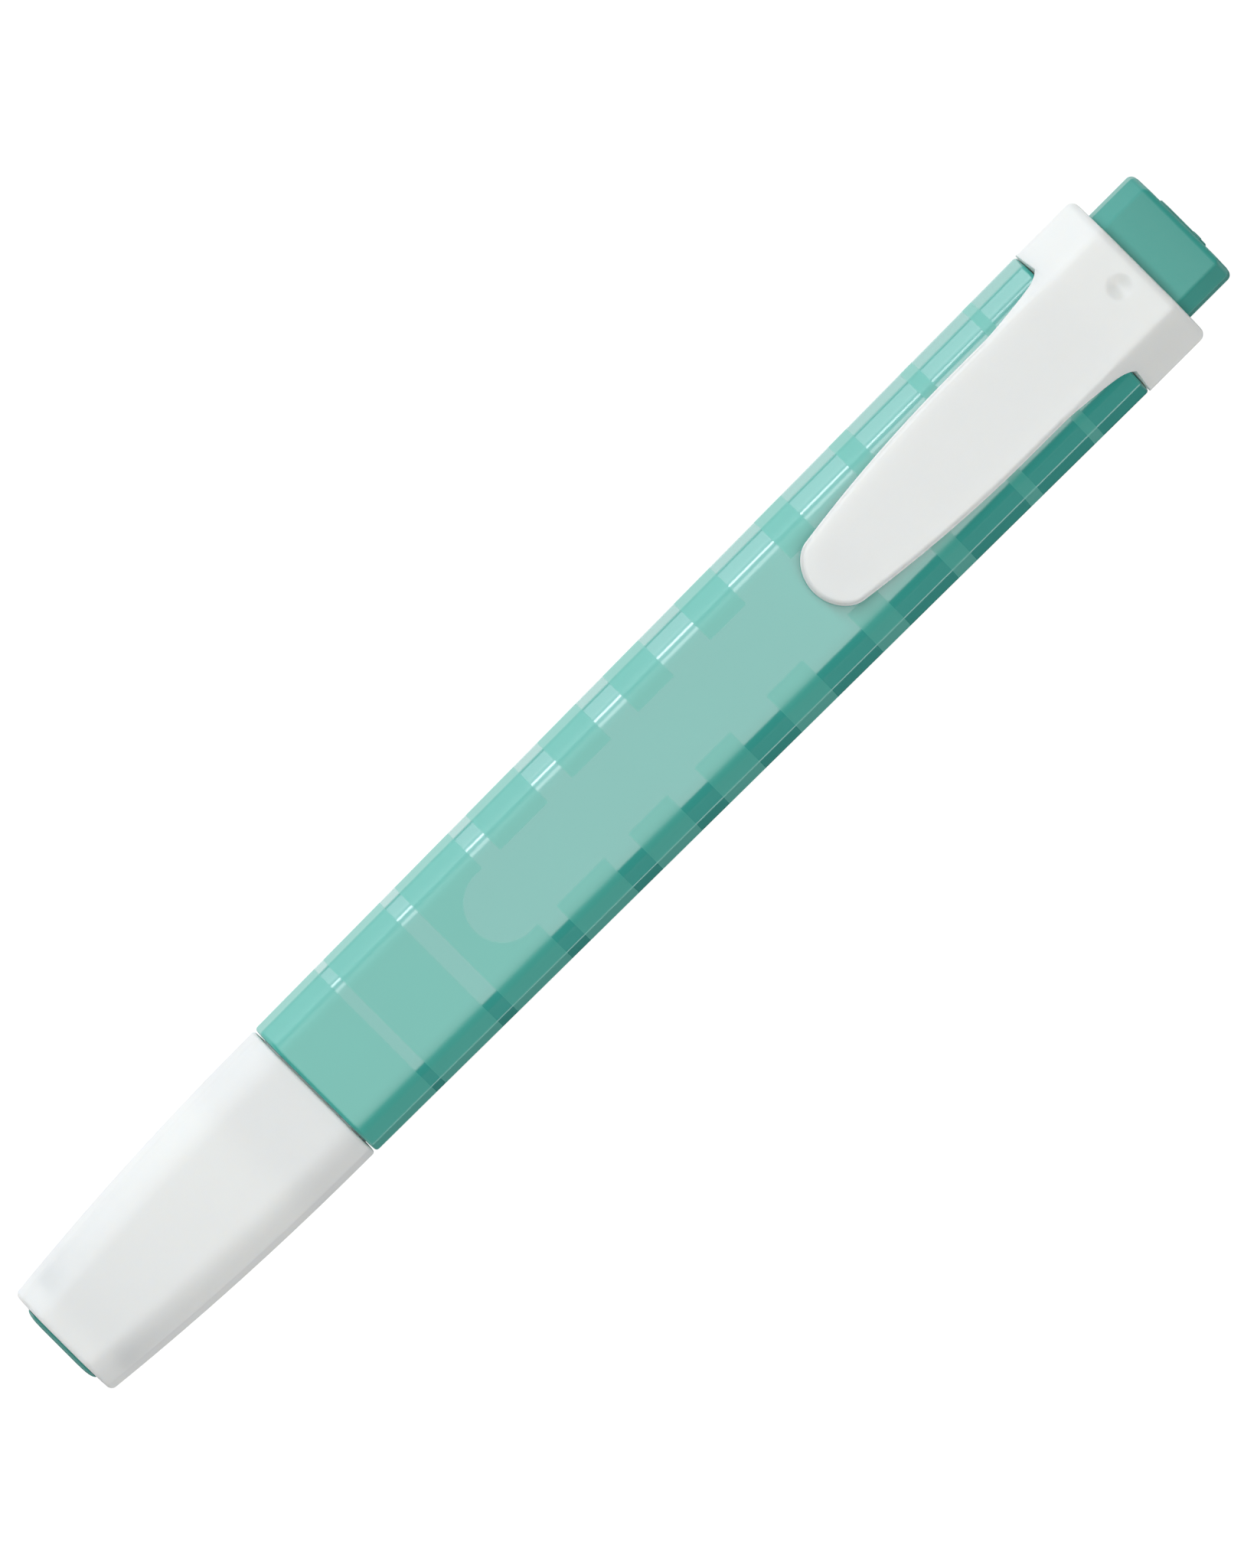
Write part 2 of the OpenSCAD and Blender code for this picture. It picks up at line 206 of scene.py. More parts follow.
def rim(radius: float, steps: int = 6) -> list[tuple[float, float]]:
    """Lists (along, in) offsets of a quarter-round edge, from the end face to the full outline."""
    turns = [math.pi / 2 * k / steps for k in range(steps + 1)]
    return [(radius * (1 - math.cos(a)), radius * (1 - math.sin(a))) for a in turns]


def between(start: float, stop: float, parts: int) -> list[float]:
    """Lists the places strictly between start and stop that cut the length into equal parts."""
    return [start + (stop - start) * k / parts for k in range(1, parts)]


Station = tuple[Any, np.ndarray]


@dataclass
class Loft:
    """A skin stretched over matched rings that stand square to X.

    Attributes:
        stations: (x, ring) pairs in millimetres, each ring about the pen's axis; x may differ from point to
            point of a ring.
        axis: Height of the pen's axis above the ground.
        ends: How the first and last rings are finished.
    """

    stations: list[Station]
    axis: float
    ends: Ends = Ends.BOTH

    def into(self, target: bmesh.types.BMesh) -> list[list[bmesh.types.BMVert]]:
        """Adds the skin to a mesh that is being built.

        Args:
            target: The mesh, in metres.

        Returns:
            The rows of new vertices, one for each station.
        """
        rows = []
        for x, ring in self.stations:
            places = np.broadcast_to(np.asarray(x, float), len(ring))
            rows.append([
                target.verts.new((px * MM, y * MM, (z + self.axis) * MM)) for px, (y, z) in zip(places, ring)
            ])
        pairs = list(zip(rows, rows[1:]))
        if self.ends is Ends.JOINED:
            pairs.append((rows[-1], rows[0]))
        for low, high in pairs:
            count = len(low)
            for j in range(count):
                k = (j + 1) % count
                target.faces.new((low[j], high[j], high[k], low[k]))
        if self.ends in (Ends.FIRST, Ends.BOTH):
            cover(target, rows[0])
        if self.ends in (Ends.LAST, Ends.BOTH):
            cover(target, rows[-1])
        return rows


def cover(target: bmesh.types.BMesh, row: list[bmesh.types.BMVert]) -> None:
    """Closes a ring with triangles round its middle.

    Args:
        target: The mesh that holds the ring.
        row: The ring's vertices.
    """
    middle = target.verts.new(sum((v.co for v in row[1:]), row[0].co.copy()) / len(row))
    for j, vert in enumerate(row):
        target.faces.new((vert, row[(j + 1) % len(row)], middle))


def zip_rings(target: bmesh.types.BMesh, outer: list[bmesh.types.BMVert],
              inner: list[bmesh.types.BMVert], axis: float) -> None:
    """Fills the band between two rings of unlike point counts, stepping round both by angle.

    Args:
        target: The mesh that holds both rings.
        outer: The outer ring's vertices.
        inner: The inner ring's vertices.
        axis: Height of the hub that the angles are measured about.
    """

    def turned(row: list[bmesh.types.BMVert]) -> list[tuple[float, bmesh.types.BMVert]]:
        """Pairs each vertex with its angle, in rising order."""
        return sorted(((math.atan2(v.co.z - axis * MM, v.co.y), v) for v in row), key=lambda pair: pair[0])

    rows = [turned(outer), turned(inner)]
    at = [0, 0]
    while at[0] < len(rows[0]) or at[1] < len(rows[1]):
        ahead = [rows[k][at[k] + 1][0] if at[k] + 1 < len(rows[k]) else rows[k][0][0] + 2 * math.pi
                 for k in (0, 1)]
        step = 0 if at[1] >= len(rows[1]) or (at[0] < len(rows[0]) and ahead[0] <= ahead[1]) else 1
        here = [rows[k][at[k] % len(rows[k])][1] for k in (0, 1)]
        on = rows[step][(at[step] + 1) % len(rows[step])][1]
        corners = (here[0], on, here[1])
        if len(set(corners)) == len(corners) and not target.faces.get(corners):
            target.faces.new(corners)
        at[step] += 1


def finished(name: str, mesh: bmesh.types.BMesh, material: bpy.types.Material) -> bpy.types.Object:
    """Turns a built mesh into a smooth-shaded object at the origin.

    Args:
        name: The piece's name.
        mesh: The built mesh, which is freed.
        material: Its finish.

    Returns:
        The object, linked to the scene.
    """
    bmesh.ops.remove_doubles(mesh, verts=mesh.verts, dist=MM * 2e-3)
    bmesh.ops.dissolve_degenerate(mesh, edges=mesh.edges, dist=MM * 1e-3)
    bmesh.ops.recalc_face_normals(mesh, faces=mesh.faces)
    data = bpy.data.meshes.new(name)
    mesh.to_mesh(data)
    mesh.free()
    data.shade_smooth()
    data.set_sharp_from_angle(angle=SHARP)
    data.materials.append(material)
    piece = bpy.data.objects.new(name, data)
    bpy.context.scene.collection.objects.link(piece)
    return piece


def lofted(name: str, lofts: Sequence[Loft], material: bpy.types.Material) -> bpy.types.Object:
    """Builds one object from several lofts.

    Args:
        name: The piece's name.
        lofts: The skins that make it up.
        material: Its finish.

    Returns:
        The finished object.
    """
    mesh = bmesh.new()
    for loft in lofts:
        loft.into(mesh)
    return finished(name, mesh, material)


def report(piece: bpy.types.Object, body: str, slot: str, *nodes: str) -> None:
    """Hangs a finished piece on its body, hides the frame nodes that it stands for and logs it.

    Args:
        piece: The finished piece.
        body: The body that it moves with.
        slot: The record's material slot; not used.
        *nodes: The frame's nodes that it stands for.
    """
    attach(piece, body)
    if nodes:
        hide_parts(*nodes)
    LOG.info("%s: %d faces, on %s, for %s", piece.name, len(piece.data.polygons), body, nodes or "itself")


# ------------------------------------------------------------------------ node helpers


def add(tree: bpy.types.NodeTree, kind: str, inputs: dict[Any, Any] | None = None,
        **settings: Any) -> bpy.types.Node:
    """Adds a node with its settings, values and links.

    Args:
        tree: The node tree.
        kind: The node's type name.
        inputs: Socket names or numbers, with what each is given: a value, an output socket to link, or a
            node whose first output is linked.
        **settings: Properties of the node itself.

    Returns:
        The new node.
    """
    node = tree.nodes.new(kind)
    for key, value in settings.items():
        setattr(node, key, value)
    for key, value in (inputs or {}).items():
        source = value.outputs[0] if isinstance(value, bpy.types.Node) else value
        if isinstance(source, bpy.types.NodeSocket):
            tree.links.new(source, node.inputs[key])
        else:
            node.inputs[key].default_value = source
    return node


def linear(code: str) -> tuple[float, float, float, float]:
    """Turns an sRGB hex colour into linear RGBA.

    Args:
        code: The colour, as a hash sign and six hex digits.

    Returns:
        Its red, green and blue, and an alpha of one.
    """
    channels = [int(code[i:i + 2], 16) / 255 for i in (1, 3, 5)]
    r, g, b = (c / 12.92 if c <= 0.04045 else ((c + 0.055) / 1.055) ** 2.4 for c in channels)
    return (r, g, b, 1.0)


def blank_material(name: str) -> tuple[bpy.types.Material, bpy.types.NodeTree, bpy.types.NodeSocket]:
    """Makes a material with nothing in its tree but the piece's own coordinates.

    Args:
        name: The material's name.

    Returns:
        The material, its node tree and its Object coordinates.
    """
    material = bpy.data.materials.new(name)
    material.use_nodes = True
    tree = material.node_tree
    tree.nodes.clear()
    return material, tree, add(tree, "ShaderNodeTexCoord").outputs["Object"]


# ---------------------------------------------------------------------------- finishes


@dataclass(frozen=True)
class Polypropylene:
    """Injection-moulded polypropylene with the fine grain that an eroded mould leaves.

    Attributes:
        name: Material name.
        colour: Pigment, as sRGB hex.
        shade: The pigment's slightly denser tone, seen in broad soft patches.
        roughness: Mean roughness.
        grain_mm: Size of the mould's grain.
        grain_depth: Strength of that grain's relief.
        glow: Share of light that scatters under the surface.
        flow_mm: Width of the melt's flow marks.
        soak_mm: How far light soaks in.
    """

    name: str
    colour: str
    shade: str
    roughness: float
    grain_mm: float = 0.12
    grain_depth: float = 0.06
    glow: float = 0.0
    flow_mm: float = 6.0
    soak_mm: float = 2.5

    def build(self) -> bpy.types.Material:
        """Makes the material.

        Returns:
            The material, with flow marks in its tone and grain in its relief.
        """
        material, tree, place = blank_material(self.name)
        # the marks run along the melt's flow, four times as long as they are wide
        along = add(tree, "ShaderNodeMapping", {"Vector": place, "Scale": (0.25, 1.0, 1.0)})
        flow = add(tree, "ShaderNodeTexNoise",
                   {"Vector": along, "Scale": 1 / (self.flow_mm * MM), "Detail": 3.0, "Roughness": 0.45})
        grain = add(tree, "ShaderNodeTexNoise",
                    {"Vector": place, "Scale": 1 / (self.grain_mm * MM), "Detail": 2.0})
        tone = add(tree, "ShaderNodeMix", {"Factor": flow, 6: linear(self.colour), 7: linear(self.shade)},
                   data_type="RGBA").outputs[2]
        rough = add(tree, "ShaderNodeMapRange",
                    {"Value": grain, "From Min": 0.3, "From Max": 0.7,
                     "To Min": self.roughness - 0.05, "To Max": self.roughness + 0.05})
        relief = add(tree, "ShaderNodeBump",
                     {"Height": grain, "Strength": self.grain_depth, "Distance": GRAIN_HEIGHT * MM})
        shader = add(tree, "ShaderNodeBsdfPrincipled",
                     {"Base Color": tone, "Roughness": rough, "Normal": relief, "IOR": PLASTIC_IOR,
                      "Subsurface Weight": self.glow, "Subsurface Radius": (1.0, 0.9, 0.8),
                      "Subsurface Scale": self.soak_mm * MM})
        add(tree, "ShaderNodeOutputMaterial", {"Surface": shader})
        return material


@dataclass(frozen=True)
class BandedBarrel:
    """Pastel polypropylene with a satin mould grain, and gloss lacquer laid on in bands and a panel.

    Attributes:
        name: Material name.
        satin: Colour of the bare satin plastic, as sRGB hex.
        gloss: Colour under the pearly lacquer, as sRGB hex.
        start: Where the barrel begins along X, in millimetres.
        stop: Where it ends.
        first: Distance from the barrel's front to the first band.
        panel_start: Where the panel's round end is centred, along X.
        panel_half: Half width of the panel on the front face.
        axis: Height of the pen's axis.
        roughness: Roughness of the bare plastic and of the lacquer.
        grain_mm: Size of the mould's grain.
        cloud_mm: Size of the soft patches in the pigment.
        module: The unit that the bands' widths and gaps are counted in.
        widths: Width of each band, in modules.
        gaps: Gap behind each band but the last, in modules.
    """

    name: str
    satin: str
    gloss: str
    start: float
    stop: float
    first: float
    panel_start: float
    panel_half: float
    axis: float
    roughness: tuple[float, float] = (0.36, 0.18)
    grain_mm: float = 0.1
    cloud_mm: float = 9.0
    module: float = 0.548
    widths: tuple[float, ...] = (2, 3, 4, 5, 6, 8, 10, 10, 12, 11.5, 12)
    gaps: tuple[float, ...] = (13, 12, 11, 9, 8, 8, 6, 4, 3, 2)

    def build(self) -> bpy.types.Material:
        """Makes the material.

        Returns:
            The material, whose lacquer mask drives its colour, roughness and relief.
        """
        material, tree, place = blank_material(self.name)
        lacquer = add(tree, MATHS, {0: self._bands(tree, place), 1: self._panel(tree, place)},
                      operation="MAXIMUM")
        grain, cloud = (add(tree, "ShaderNodeTexNoise",
                            {"Vector": place, "Scale": 1 / (size * MM), "Detail": 2.0})
                        for size in (self.grain_mm, self.cloud_mm))
        colour = add(tree, "ShaderNodeMix",
                     {"Factor": lacquer, 6: linear(self.satin), 7: linear(self.gloss)},
                     data_type="RGBA").outputs[2]
        depth = add(tree, "ShaderNodeMapRange", {"Value": cloud, "To Min": 0.97, "To Max": 1.03})
        toned = add(tree, "ShaderNodeHueSaturation", {"Color": colour, "Value": depth})
        satin_rough, gloss_rough = self.roughness
        rough = add(tree, "ShaderNodeMapRange",
                    {"Value": lacquer, "To Min": satin_rough, "To Max": gloss_rough})
        # the lacquer fills the grain, so only the bare plastic keeps its relief
        bare = add(tree, MATHS, {0: 1.0, 1: lacquer}, operation="SUBTRACT")
        rise = add(tree, MATHS, {0: grain, 1: bare}, operation="MULTIPLY")
        coat = add(tree, MATHS, {0: lacquer, 1: 0.8}, operation="MULTIPLY")
        height = add(tree, MATHS, {0: rise, 1: coat}, operation="ADD")
        relief = add(tree, "ShaderNodeBump",
                     {"Height": height, "Strength": 0.08, "Distance": GRAIN_HEIGHT * MM})
        shader = add(tree, "ShaderNodeBsdfPrincipled",
                     {"Base Color": toned, "Roughness": rough, "Normal": relief, "IOR": PLASTIC_IOR,
                      "Specular IOR Level": 0.85})
        add(tree, "ShaderNodeOutputMaterial", {"Surface": shader})
        return material

    def _bands(self, tree: bpy.types.NodeTree, place: bpy.types.NodeSocket) -> bpy.types.Node:
        """Masks the lacquer bands, which grow wider toward the rear.

        Args:
            tree: The material's node tree.
            place: The piece's own coordinates.

        Returns:
            The node that gives one on a band and nought between bands.
        """
        along = add(tree, "ShaderNodeSeparateXYZ", {0: place}).outputs["X"]
        share = add(tree, "ShaderNodeMapRange",
                    {"Value": along, "From Min": self.start * MM, "From Max": self.stop * MM})
        ramp = add(tree, "ShaderNodeValToRGB", {0: share})
        ramp.color_ramp.interpolation = "CONSTANT"
        stops = ramp.color_ramp.elements
        stops.remove(stops[1])
        stops[0].color = (0, 0, 0, 1)
        length = self.stop - self.start
        edge = self.first
        for width, gap in zip(self.widths, (*self.gaps, 0)):
            for level, step in ((1, width), (0, gap)):
                if edge < length:
                    stops.new(edge / length).color = (level, level, level, 1)
                edge += step * self.module
        return ramp

    def _panel(self, tree: bpy.types.NodeTree, place: bpy.types.NodeSocket) -> bpy.types.Node:
        """Masks the lacquered panel along the front face, round at its front end.

        Args:
            tree: The material's node tree.
            place: The piece's own coordinates.

        Returns:
            The node that gives one on the panel.
        """
        parts = add(tree, "ShaderNodeSeparateXYZ", {0: place}).outputs
        past = add(tree, MATHS, {0: parts["X"], 1: self.panel_start * MM}, operation="SUBTRACT")
        ahead = add(tree, MATHS, {0: past, 1: 0.0}, operation="MINIMUM")
        squares = []
        for leg in (ahead, parts["Y"]):
            size = add(tree, MATHS, {0: leg}, operation="ABSOLUTE")
            squares.append(add(tree, MATHS, {0: size, 1: 2.0}, operation="POWER"))
        both = add(tree, MATHS, dict(enumerate(squares)), operation="ADD")
        out = add(tree, MATHS, {0: both}, operation="SQRT")
        inside = add(tree, MATHS, {0: out, 1: self.panel_half * MM}, operation="LESS_THAN")
        front = add(tree, MATHS, {0: parts["Z"], 1: self.axis * MM}, operation="GREATER_THAN")
        return add(tree, MATHS, {0: inside, 1: front}, operation="MULTIPLY")


@dataclass(frozen=True)
class BondedFibre:
    """Polyester fibres bonded side by side and soaked with ink, matt and finely streaked along the pen.

    Attributes:
        name: Material name.
        wet: Colour where the ink stands dense, as sRGB hex.
        dry: Colour of the fibre tips, as sRGB hex.
        strand_mm: Spacing of the streaks; real fibres are finer than this shows.
        soak_mm: Size of the patches where the ink stands dense.
    """

    name: str
    wet: str
    dry: str
    strand_mm: float = 0.14
    soak_mm: float = 2.5

    def build(self) -> bpy.types.Material:
        """Makes the material.

        Returns:
            The material, with streaks in colour and relief along X.
        """
        material, tree, place = blank_material(self.name)
        stretched = add(tree, "ShaderNodeMapping", {"Vector": place, "Scale": (0.06, 1.0, 1.0)})
        strands = add(tree, "ShaderNodeTexNoise",
                      {"Vector": stretched, "Scale": 1 / (self.strand_mm * MM), "Detail": 3.0})
        soak = add(tree, "ShaderNodeTexNoise",
                   {"Vector": place, "Scale": 1 / (self.soak_mm * MM), "Detail": 2.0})
        density = add(tree, MATHS, {0: strands, 1: soak}, operation="MULTIPLY")
        share = add(tree, "ShaderNodeMapRange", {"Value": density, "From Min": 0.12, "From Max": 0.4})
        colour = add(tree, "ShaderNodeMix", {"Factor": share, 6: linear(self.wet), 7: linear(self.dry)},
                     data_type="RGBA").outputs[2]
        relief = add(tree, "ShaderNodeBump", {"Height": strands, "Strength": 0.5, "Distance": 0.05 * MM})
        shader = add(tree, "ShaderNodeBsdfPrincipled",
                     {"Base Color": colour, "Roughness": 0.78, "Normal": relief, "Sheen Weight": 0.25,
                      "Sheen Roughness": 0.6})
        add(tree, "ShaderNodeOutputMaterial", {"Surface": shader})
        return material


@dataclass(frozen=True)
class StudioPaper:
    """Matt white background paper with a faint tooth.

    Attributes:
        name: Material name.
        colour: The paper's colour, as sRGB hex.
        glow: Light that comes through the paper from the table under it.
        tooth_mm: Size of the paper's tooth.
    """

    name: str
    colour: str
    glow: float = 0.92
    tooth_mm: float = 0.8

    def build(self) -> bpy.types.Material:
        """Makes the material.

        Returns:
            The material, with the tooth in its relief.
        """
        material, tree, place = blank_material(self.name)
        tooth = add(tree, "ShaderNodeTexNoise",
                    {"Vector": place, "Scale": 1 / (self.tooth_mm * MM), "Detail": 3.0})
        relief = add(tree, "ShaderNodeBump", {"Height": tooth, "Strength": 0.04, "Distance": 0.05 * MM})
        shader = add(tree, "ShaderNodeBsdfPrincipled",
                     {"Base Color": linear(self.colour), "Roughness": 0.9, "Normal": relief,
                      "Specular IOR Level": 0.2, "Emission Color": linear("#FFFFFF"),
                      "Emission Strength": self.glow})
        add(tree, "ShaderNodeOutputMaterial", {"Surface": shader})
        return material


# ------------------------------------------------------------------- drawn outer skins


@dataclass
class SkinTree:
    """The node tree that draws a ring out along the pen into a tapered skin with rounded ends.

    Attributes:
        group: The tree, once it is built.
        keys: The modifier's key for each named input.
    """

    INPUTS = ("Length", "Start", "Direction", "Widen", "Lean", "Heighten", "Power", "Edge first",
              "Edge last", "Flat half", "Low half", "Axis")
    group: bpy.types.NodeTree | None = None
    keys: dict[str, str] = field(default_factory=dict)

    def build(self) -> None:
        """Builds the tree and notes its inputs' keys."""
        tree = bpy.data.node_groups.new("drawn_skin", "GeometryNodeTree")
        tree.interface.new_socket("Ring", in_out="INPUT", socket_type="NodeSocketGeometry")
        tree.interface.new_socket("Skin", in_out="OUTPUT", socket_type="NodeSocketGeometry")
        kinds = {"Rings": "NodeSocketInt", "Finish": "NodeSocketMaterial"}
        for name in (*self.INPUTS, *kinds):
            made = tree.interface.new_socket(name, in_out="INPUT",
                                             socket_type=kinds.get(name, "NodeSocketFloat"))
            self.keys[name] = made.identifier
        given = add(tree, "NodeGroupInput").outputs
        skin, along, share = self._grid(tree, given)
        moved = self._place(tree, given, along, share)
        placed = add(tree, "GeometryNodeSetPosition", {"Geometry": skin, "Position": moved})
        welded = add(tree, "GeometryNodeMergeByDistance", {"Geometry": placed, "Distance": 1e-3 * MM})
        real = add(tree, "GeometryNodeRealizeInstances", {"Geometry": welded})
        dressed = add(tree, "GeometryNodeSetMaterial", {"Geometry": real, "Material": given["Finish"]})
        add(tree, "NodeGroupOutput", {"Skin": dressed})
        self.group = tree

    @staticmethod
    def _grid(tree: bpy.types.NodeTree, given: Any) -> tuple[bpy.types.Node, ...]:
        """Lays out a grid with one row for each ring, closer together at both ends.

        Args:
            tree: The node tree.
            given: The group's inputs.

        Returns:
            The grid, each point's distance along the skin, and that distance as a share of the length.
        """
        around = add(tree, "GeometryNodeAttributeDomainSize", {0: given["Ring"]}).outputs["Point Count"]
        columns = add(tree, MATHS, {0: around, 1: 1.0}, operation="ADD")
        grid = add(tree, "GeometryNodeMeshGrid", {"Vertices X": given["Rings"], "Vertices Y": columns})
        index = add(tree, "GeometryNodeInputIndex")
        middle = add(tree, MATHS, {0: index, 1: 0.5}, operation="ADD")
        place = add(tree, MATHS, {0: middle, 1: columns}, operation="DIVIDE")
        row = add(tree, MATHS, {0: place}, operation="FLOOR")
        swept = add(tree, MATHS, {0: row, 1: math.pi}, operation="MULTIPLY")
        spaces = add(tree, MATHS, {0: given["Rings"], 1: 1.0}, operation="SUBTRACT")
        turn = add(tree, MATHS, {0: swept, 1: spaces}, operation="DIVIDE")
        cosine = add(tree, MATHS, {0: turn}, operation="COSINE")
        rise = add(tree, MATHS, {0: 1.0, 1: cosine}, operation="SUBTRACT")
        share = add(tree, MATHS, {0: rise, 1: 0.5}, operation="MULTIPLY")
        along = add(tree, MATHS, {0: share, 1: given["Length"]}, operation="MULTIPLY")
        return grid, along, share

    @staticmethod
    def _place(tree: bpy.types.NodeTree, given: Any, along: bpy.types.Node,
               share: bpy.types.Node) -> bpy.types.Node:
        """Works out where each grid point goes.

        Args:
            tree: The node tree.
            given: The group's inputs.
            along: Each point's distance along the skin.
            share: That distance as a share of the length.

        Returns:
            The points' places.
        """
        ring = given["Ring"]
        around = add(tree, "GeometryNodeAttributeDomainSize", {0: ring}).outputs["Point Count"]
        columns = add(tree, MATHS, {0: around, 1: 1.0}, operation="ADD")
        index = add(tree, "GeometryNodeInputIndex")
        column = add(tree, MATHS, {0: index, 1: columns}, operation="FLOORED_MODULO")
        point = add(tree, MATHS, {0: column, 1: around}, operation="FLOORED_MODULO")
        position = add(tree, "GeometryNodeInputPosition")
        sample = add(tree, "GeometryNodeSampleIndex", {"Geometry": ring, "Value": position, "Index": point},
                     data_type="FLOAT_VECTOR", domain="POINT")
        parts = add(tree, "ShaderNodeSeparateXYZ", {0: sample}).outputs

        def edge(distance: bpy.types.Node, radius: bpy.types.NodeSocket) -> bpy.types.Node:
            """Works out how far a quarter-round edge draws the skin in.

            Args:
                distance: Each point's distance from the skin's end.
                radius: The edge's radius.

            Returns:
                The node that gives the inset.
            """
            reached = add(tree, MATHS, {0: distance, 1: radius}, operation="DIVIDE")
            short = add(tree, MATHS, {0: 1.0, 1: reached}, operation="SUBTRACT")
            lack = add(tree, MATHS, {0: short, 1: 0.0}, operation="MAXIMUM")
            square = add(tree, MATHS, {0: lack, 1: lack}, operation="MULTIPLY")
            rest = add(tree, MATHS, {0: 1.0, 1: square}, operation="SUBTRACT")
            rise = add(tree, MATHS, {0: rest}, operation="SQRT")
            drop = add(tree, MATHS, {0: 1.0, 1: rise}, operation="SUBTRACT")
            return add(tree, MATHS, {0: radius, 1: drop}, operation="MULTIPLY")

        def clamped(value: bpy.types.NodeSocket, reach: bpy.types.NodeSocket) -> bpy.types.Node:
            """Works out a coordinate's share of a flat's reach.

            Args:
                value: The coordinate.
                reach: The flat's reach.

            Returns:
                The node that gives the share, from -1 to 1.
            """
            part = add(tree, MATHS, {0: value, 1: reach}, operation="DIVIDE")
            capped = add(tree, MATHS, {0: part, 1: 1.0}, operation="MINIMUM")
            return add(tree, MATHS, {0: capped, 1: -1.0}, operation="MAXIMUM")

        left = add(tree, MATHS, {0: given["Length"], 1: along}, operation="SUBTRACT")
        inset = add(tree, MATHS, {0: edge(along, given["Edge first"]), 1: edge(left, given["Edge last"])},
                    operation="ADD")
        drawn = add(tree, MATHS, {0: share, 1: given["Power"]}, operation="POWER")
        grown, raised, leaned = (add(tree, MATHS, {0: given[name], 1: drawn}, operation="MULTIPLY")
                                 for name in ("Widen", "Heighten", "Lean"))
        wider, taller = (add(tree, MATHS, {0: gain, 1: inset}, operation="SUBTRACT")
                         for gain in (grown, raised))
        upright = clamped(parts["Z"], given["Low half"])
        steep = add(tree, MATHS, {0: upright}, operation="ABSOLUTE")
        lean = add(tree, MATHS, {0: leaned, 1: steep}, operation="MULTIPLY")
        reach = add(tree, MATHS, {0: wider, 1: lean}, operation="SUBTRACT")
        across = add(tree, MATHS, {0: clamped(parts["Y"], given["Flat half"]), 1: reach},
                     operation="MULTIPLY")
        lift = add(tree, MATHS, {0: upright, 1: taller}, operation="MULTIPLY")
        lifted = add(tree, MATHS, {0: parts["Z"], 1: lift}, operation="ADD")
        run = add(tree, MATHS, {0: along, 1: given["Direction"]}, operation="MULTIPLY")
        return add(tree, "ShaderNodeCombineXYZ", {
            "X": add(tree, MATHS, {0: given["Start"], 1: run}, operation="ADD"),
            "Y": add(tree, MATHS, {0: parts["Y"], 1: across}, operation="ADD"),
            "Z": add(tree, MATHS, {0: given["Axis"], 1: lifted}, operation="ADD"),
        })


@dataclass
class DrawnSkin:
    """An outer skin whose flats widen or draw in along the pen while its facets keep their size.

    Attributes:
        section: The section's facets and radii.
        half_w: Half width at the start.
        half_h: Half height at the start.
        start: Where the skin starts along X.
        stop: Where it ends, on either side of the start.
        axis: Height of the pen's axis.
        widen: Growth of the half width, start to end.
        lean: Growth of the sides' lean.
        heighten: Growth of the half height.
        power: How late along the skin that growth comes.
        edges: Radii of the first and last edge.
        rings: Number of rings.
    """

    section: Section
    half_w: float
    half_h: float
    start: float
    stop: float
    axis: float
    widen: float
    lean: float
    heighten: float
    power: float
    edges: tuple[float, float]
    rings: int

    def flats(self) -> tuple[float, float]:
        """Tells the reach of the broad face and of the side, past which points only shift."""
        return self.half_w - self.section.lean - self.section.facet_w, self.half_h - self.section.facet_h

    def end_ring(self, last: bool) -> np.ndarray:
        """Makes the ring that the skin ends in, so that a rim or a bore can be joined to it.

        Args:
            last: Whether the far end is meant.

        Returns:
            The ring's points about the axis.
        """
        flat, low = self.flats()
        grown = 1.0 if last else 0.0
        inset = self.edges[1 if last else 0]
        y, z = self.section.ring(self.half_w, self.half_h).T
        upright = np.clip(z / low, -1, 1)
        across = np.clip(y / flat, -1, 1) * (self.widen * grown - inset - self.lean * grown * np.abs(upright))
        return np.stack([y + across, z + upright * (self.heighten * grown - inset)], axis=1)

    def build(self, tree: SkinTree, material: bpy.types.Material) -> bmesh.types.BMesh:
        """Runs the tree on this skin's ring.

        Args:
            tree: The node tree.
            material: The skin's finish.

        Returns:
            The skin as a mesh that can be added to.
        """
        ring = self.section.ring(self.half_w, self.half_h) * MM
        data = bpy.data.meshes.new("ring")
        data.from_pydata([(0.0, y, z) for y, z in ring], [], [])
        holder = bpy.data.objects.new("ring", data)
        bpy.context.scene.collection.objects.link(holder)
        flat, low = self.flats()
        values = {
            "Length": abs(self.stop - self.start) * MM, "Start": self.start * MM,
            "Direction": math.copysign(1.0, self.stop - self.start), "Widen": self.widen * MM,
            "Lean": self.lean * MM, "Heighten": self.heighten * MM, "Power": self.power,
            "Edge first": self.edges[0] * MM, "Edge last": self.edges[1] * MM,
            "Flat half": flat * MM, "Low half": low * MM, "Axis": self.axis * MM,
            "Rings": self.rings, "Finish": material,
        }
        modifier = holder.modifiers.new("drawn_skin", "NODES")
        modifier.node_group = tree.group
        for name, value in values.items():
            modifier[tree.keys[name]] = value
        evaluated = holder.evaluated_get(bpy.context.evaluated_depsgraph_get())
        baked = bpy.data.meshes.new_from_object(evaluated)
        holder.modifiers.remove(modifier)
        mesh = bmesh.new()
        mesh.from_mesh(baked)
        bpy.data.objects.remove(holder)
        return mesh


# -------------------------------------------------------------------------- stations


def extent(node: str) -> tuple[np.ndarray, np.ndarray]:
    """Reads a frame node's lowest and highest corners, in millimetres."""
    low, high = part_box(node)
    return np.array(low) / MM, np.array(high) / MM


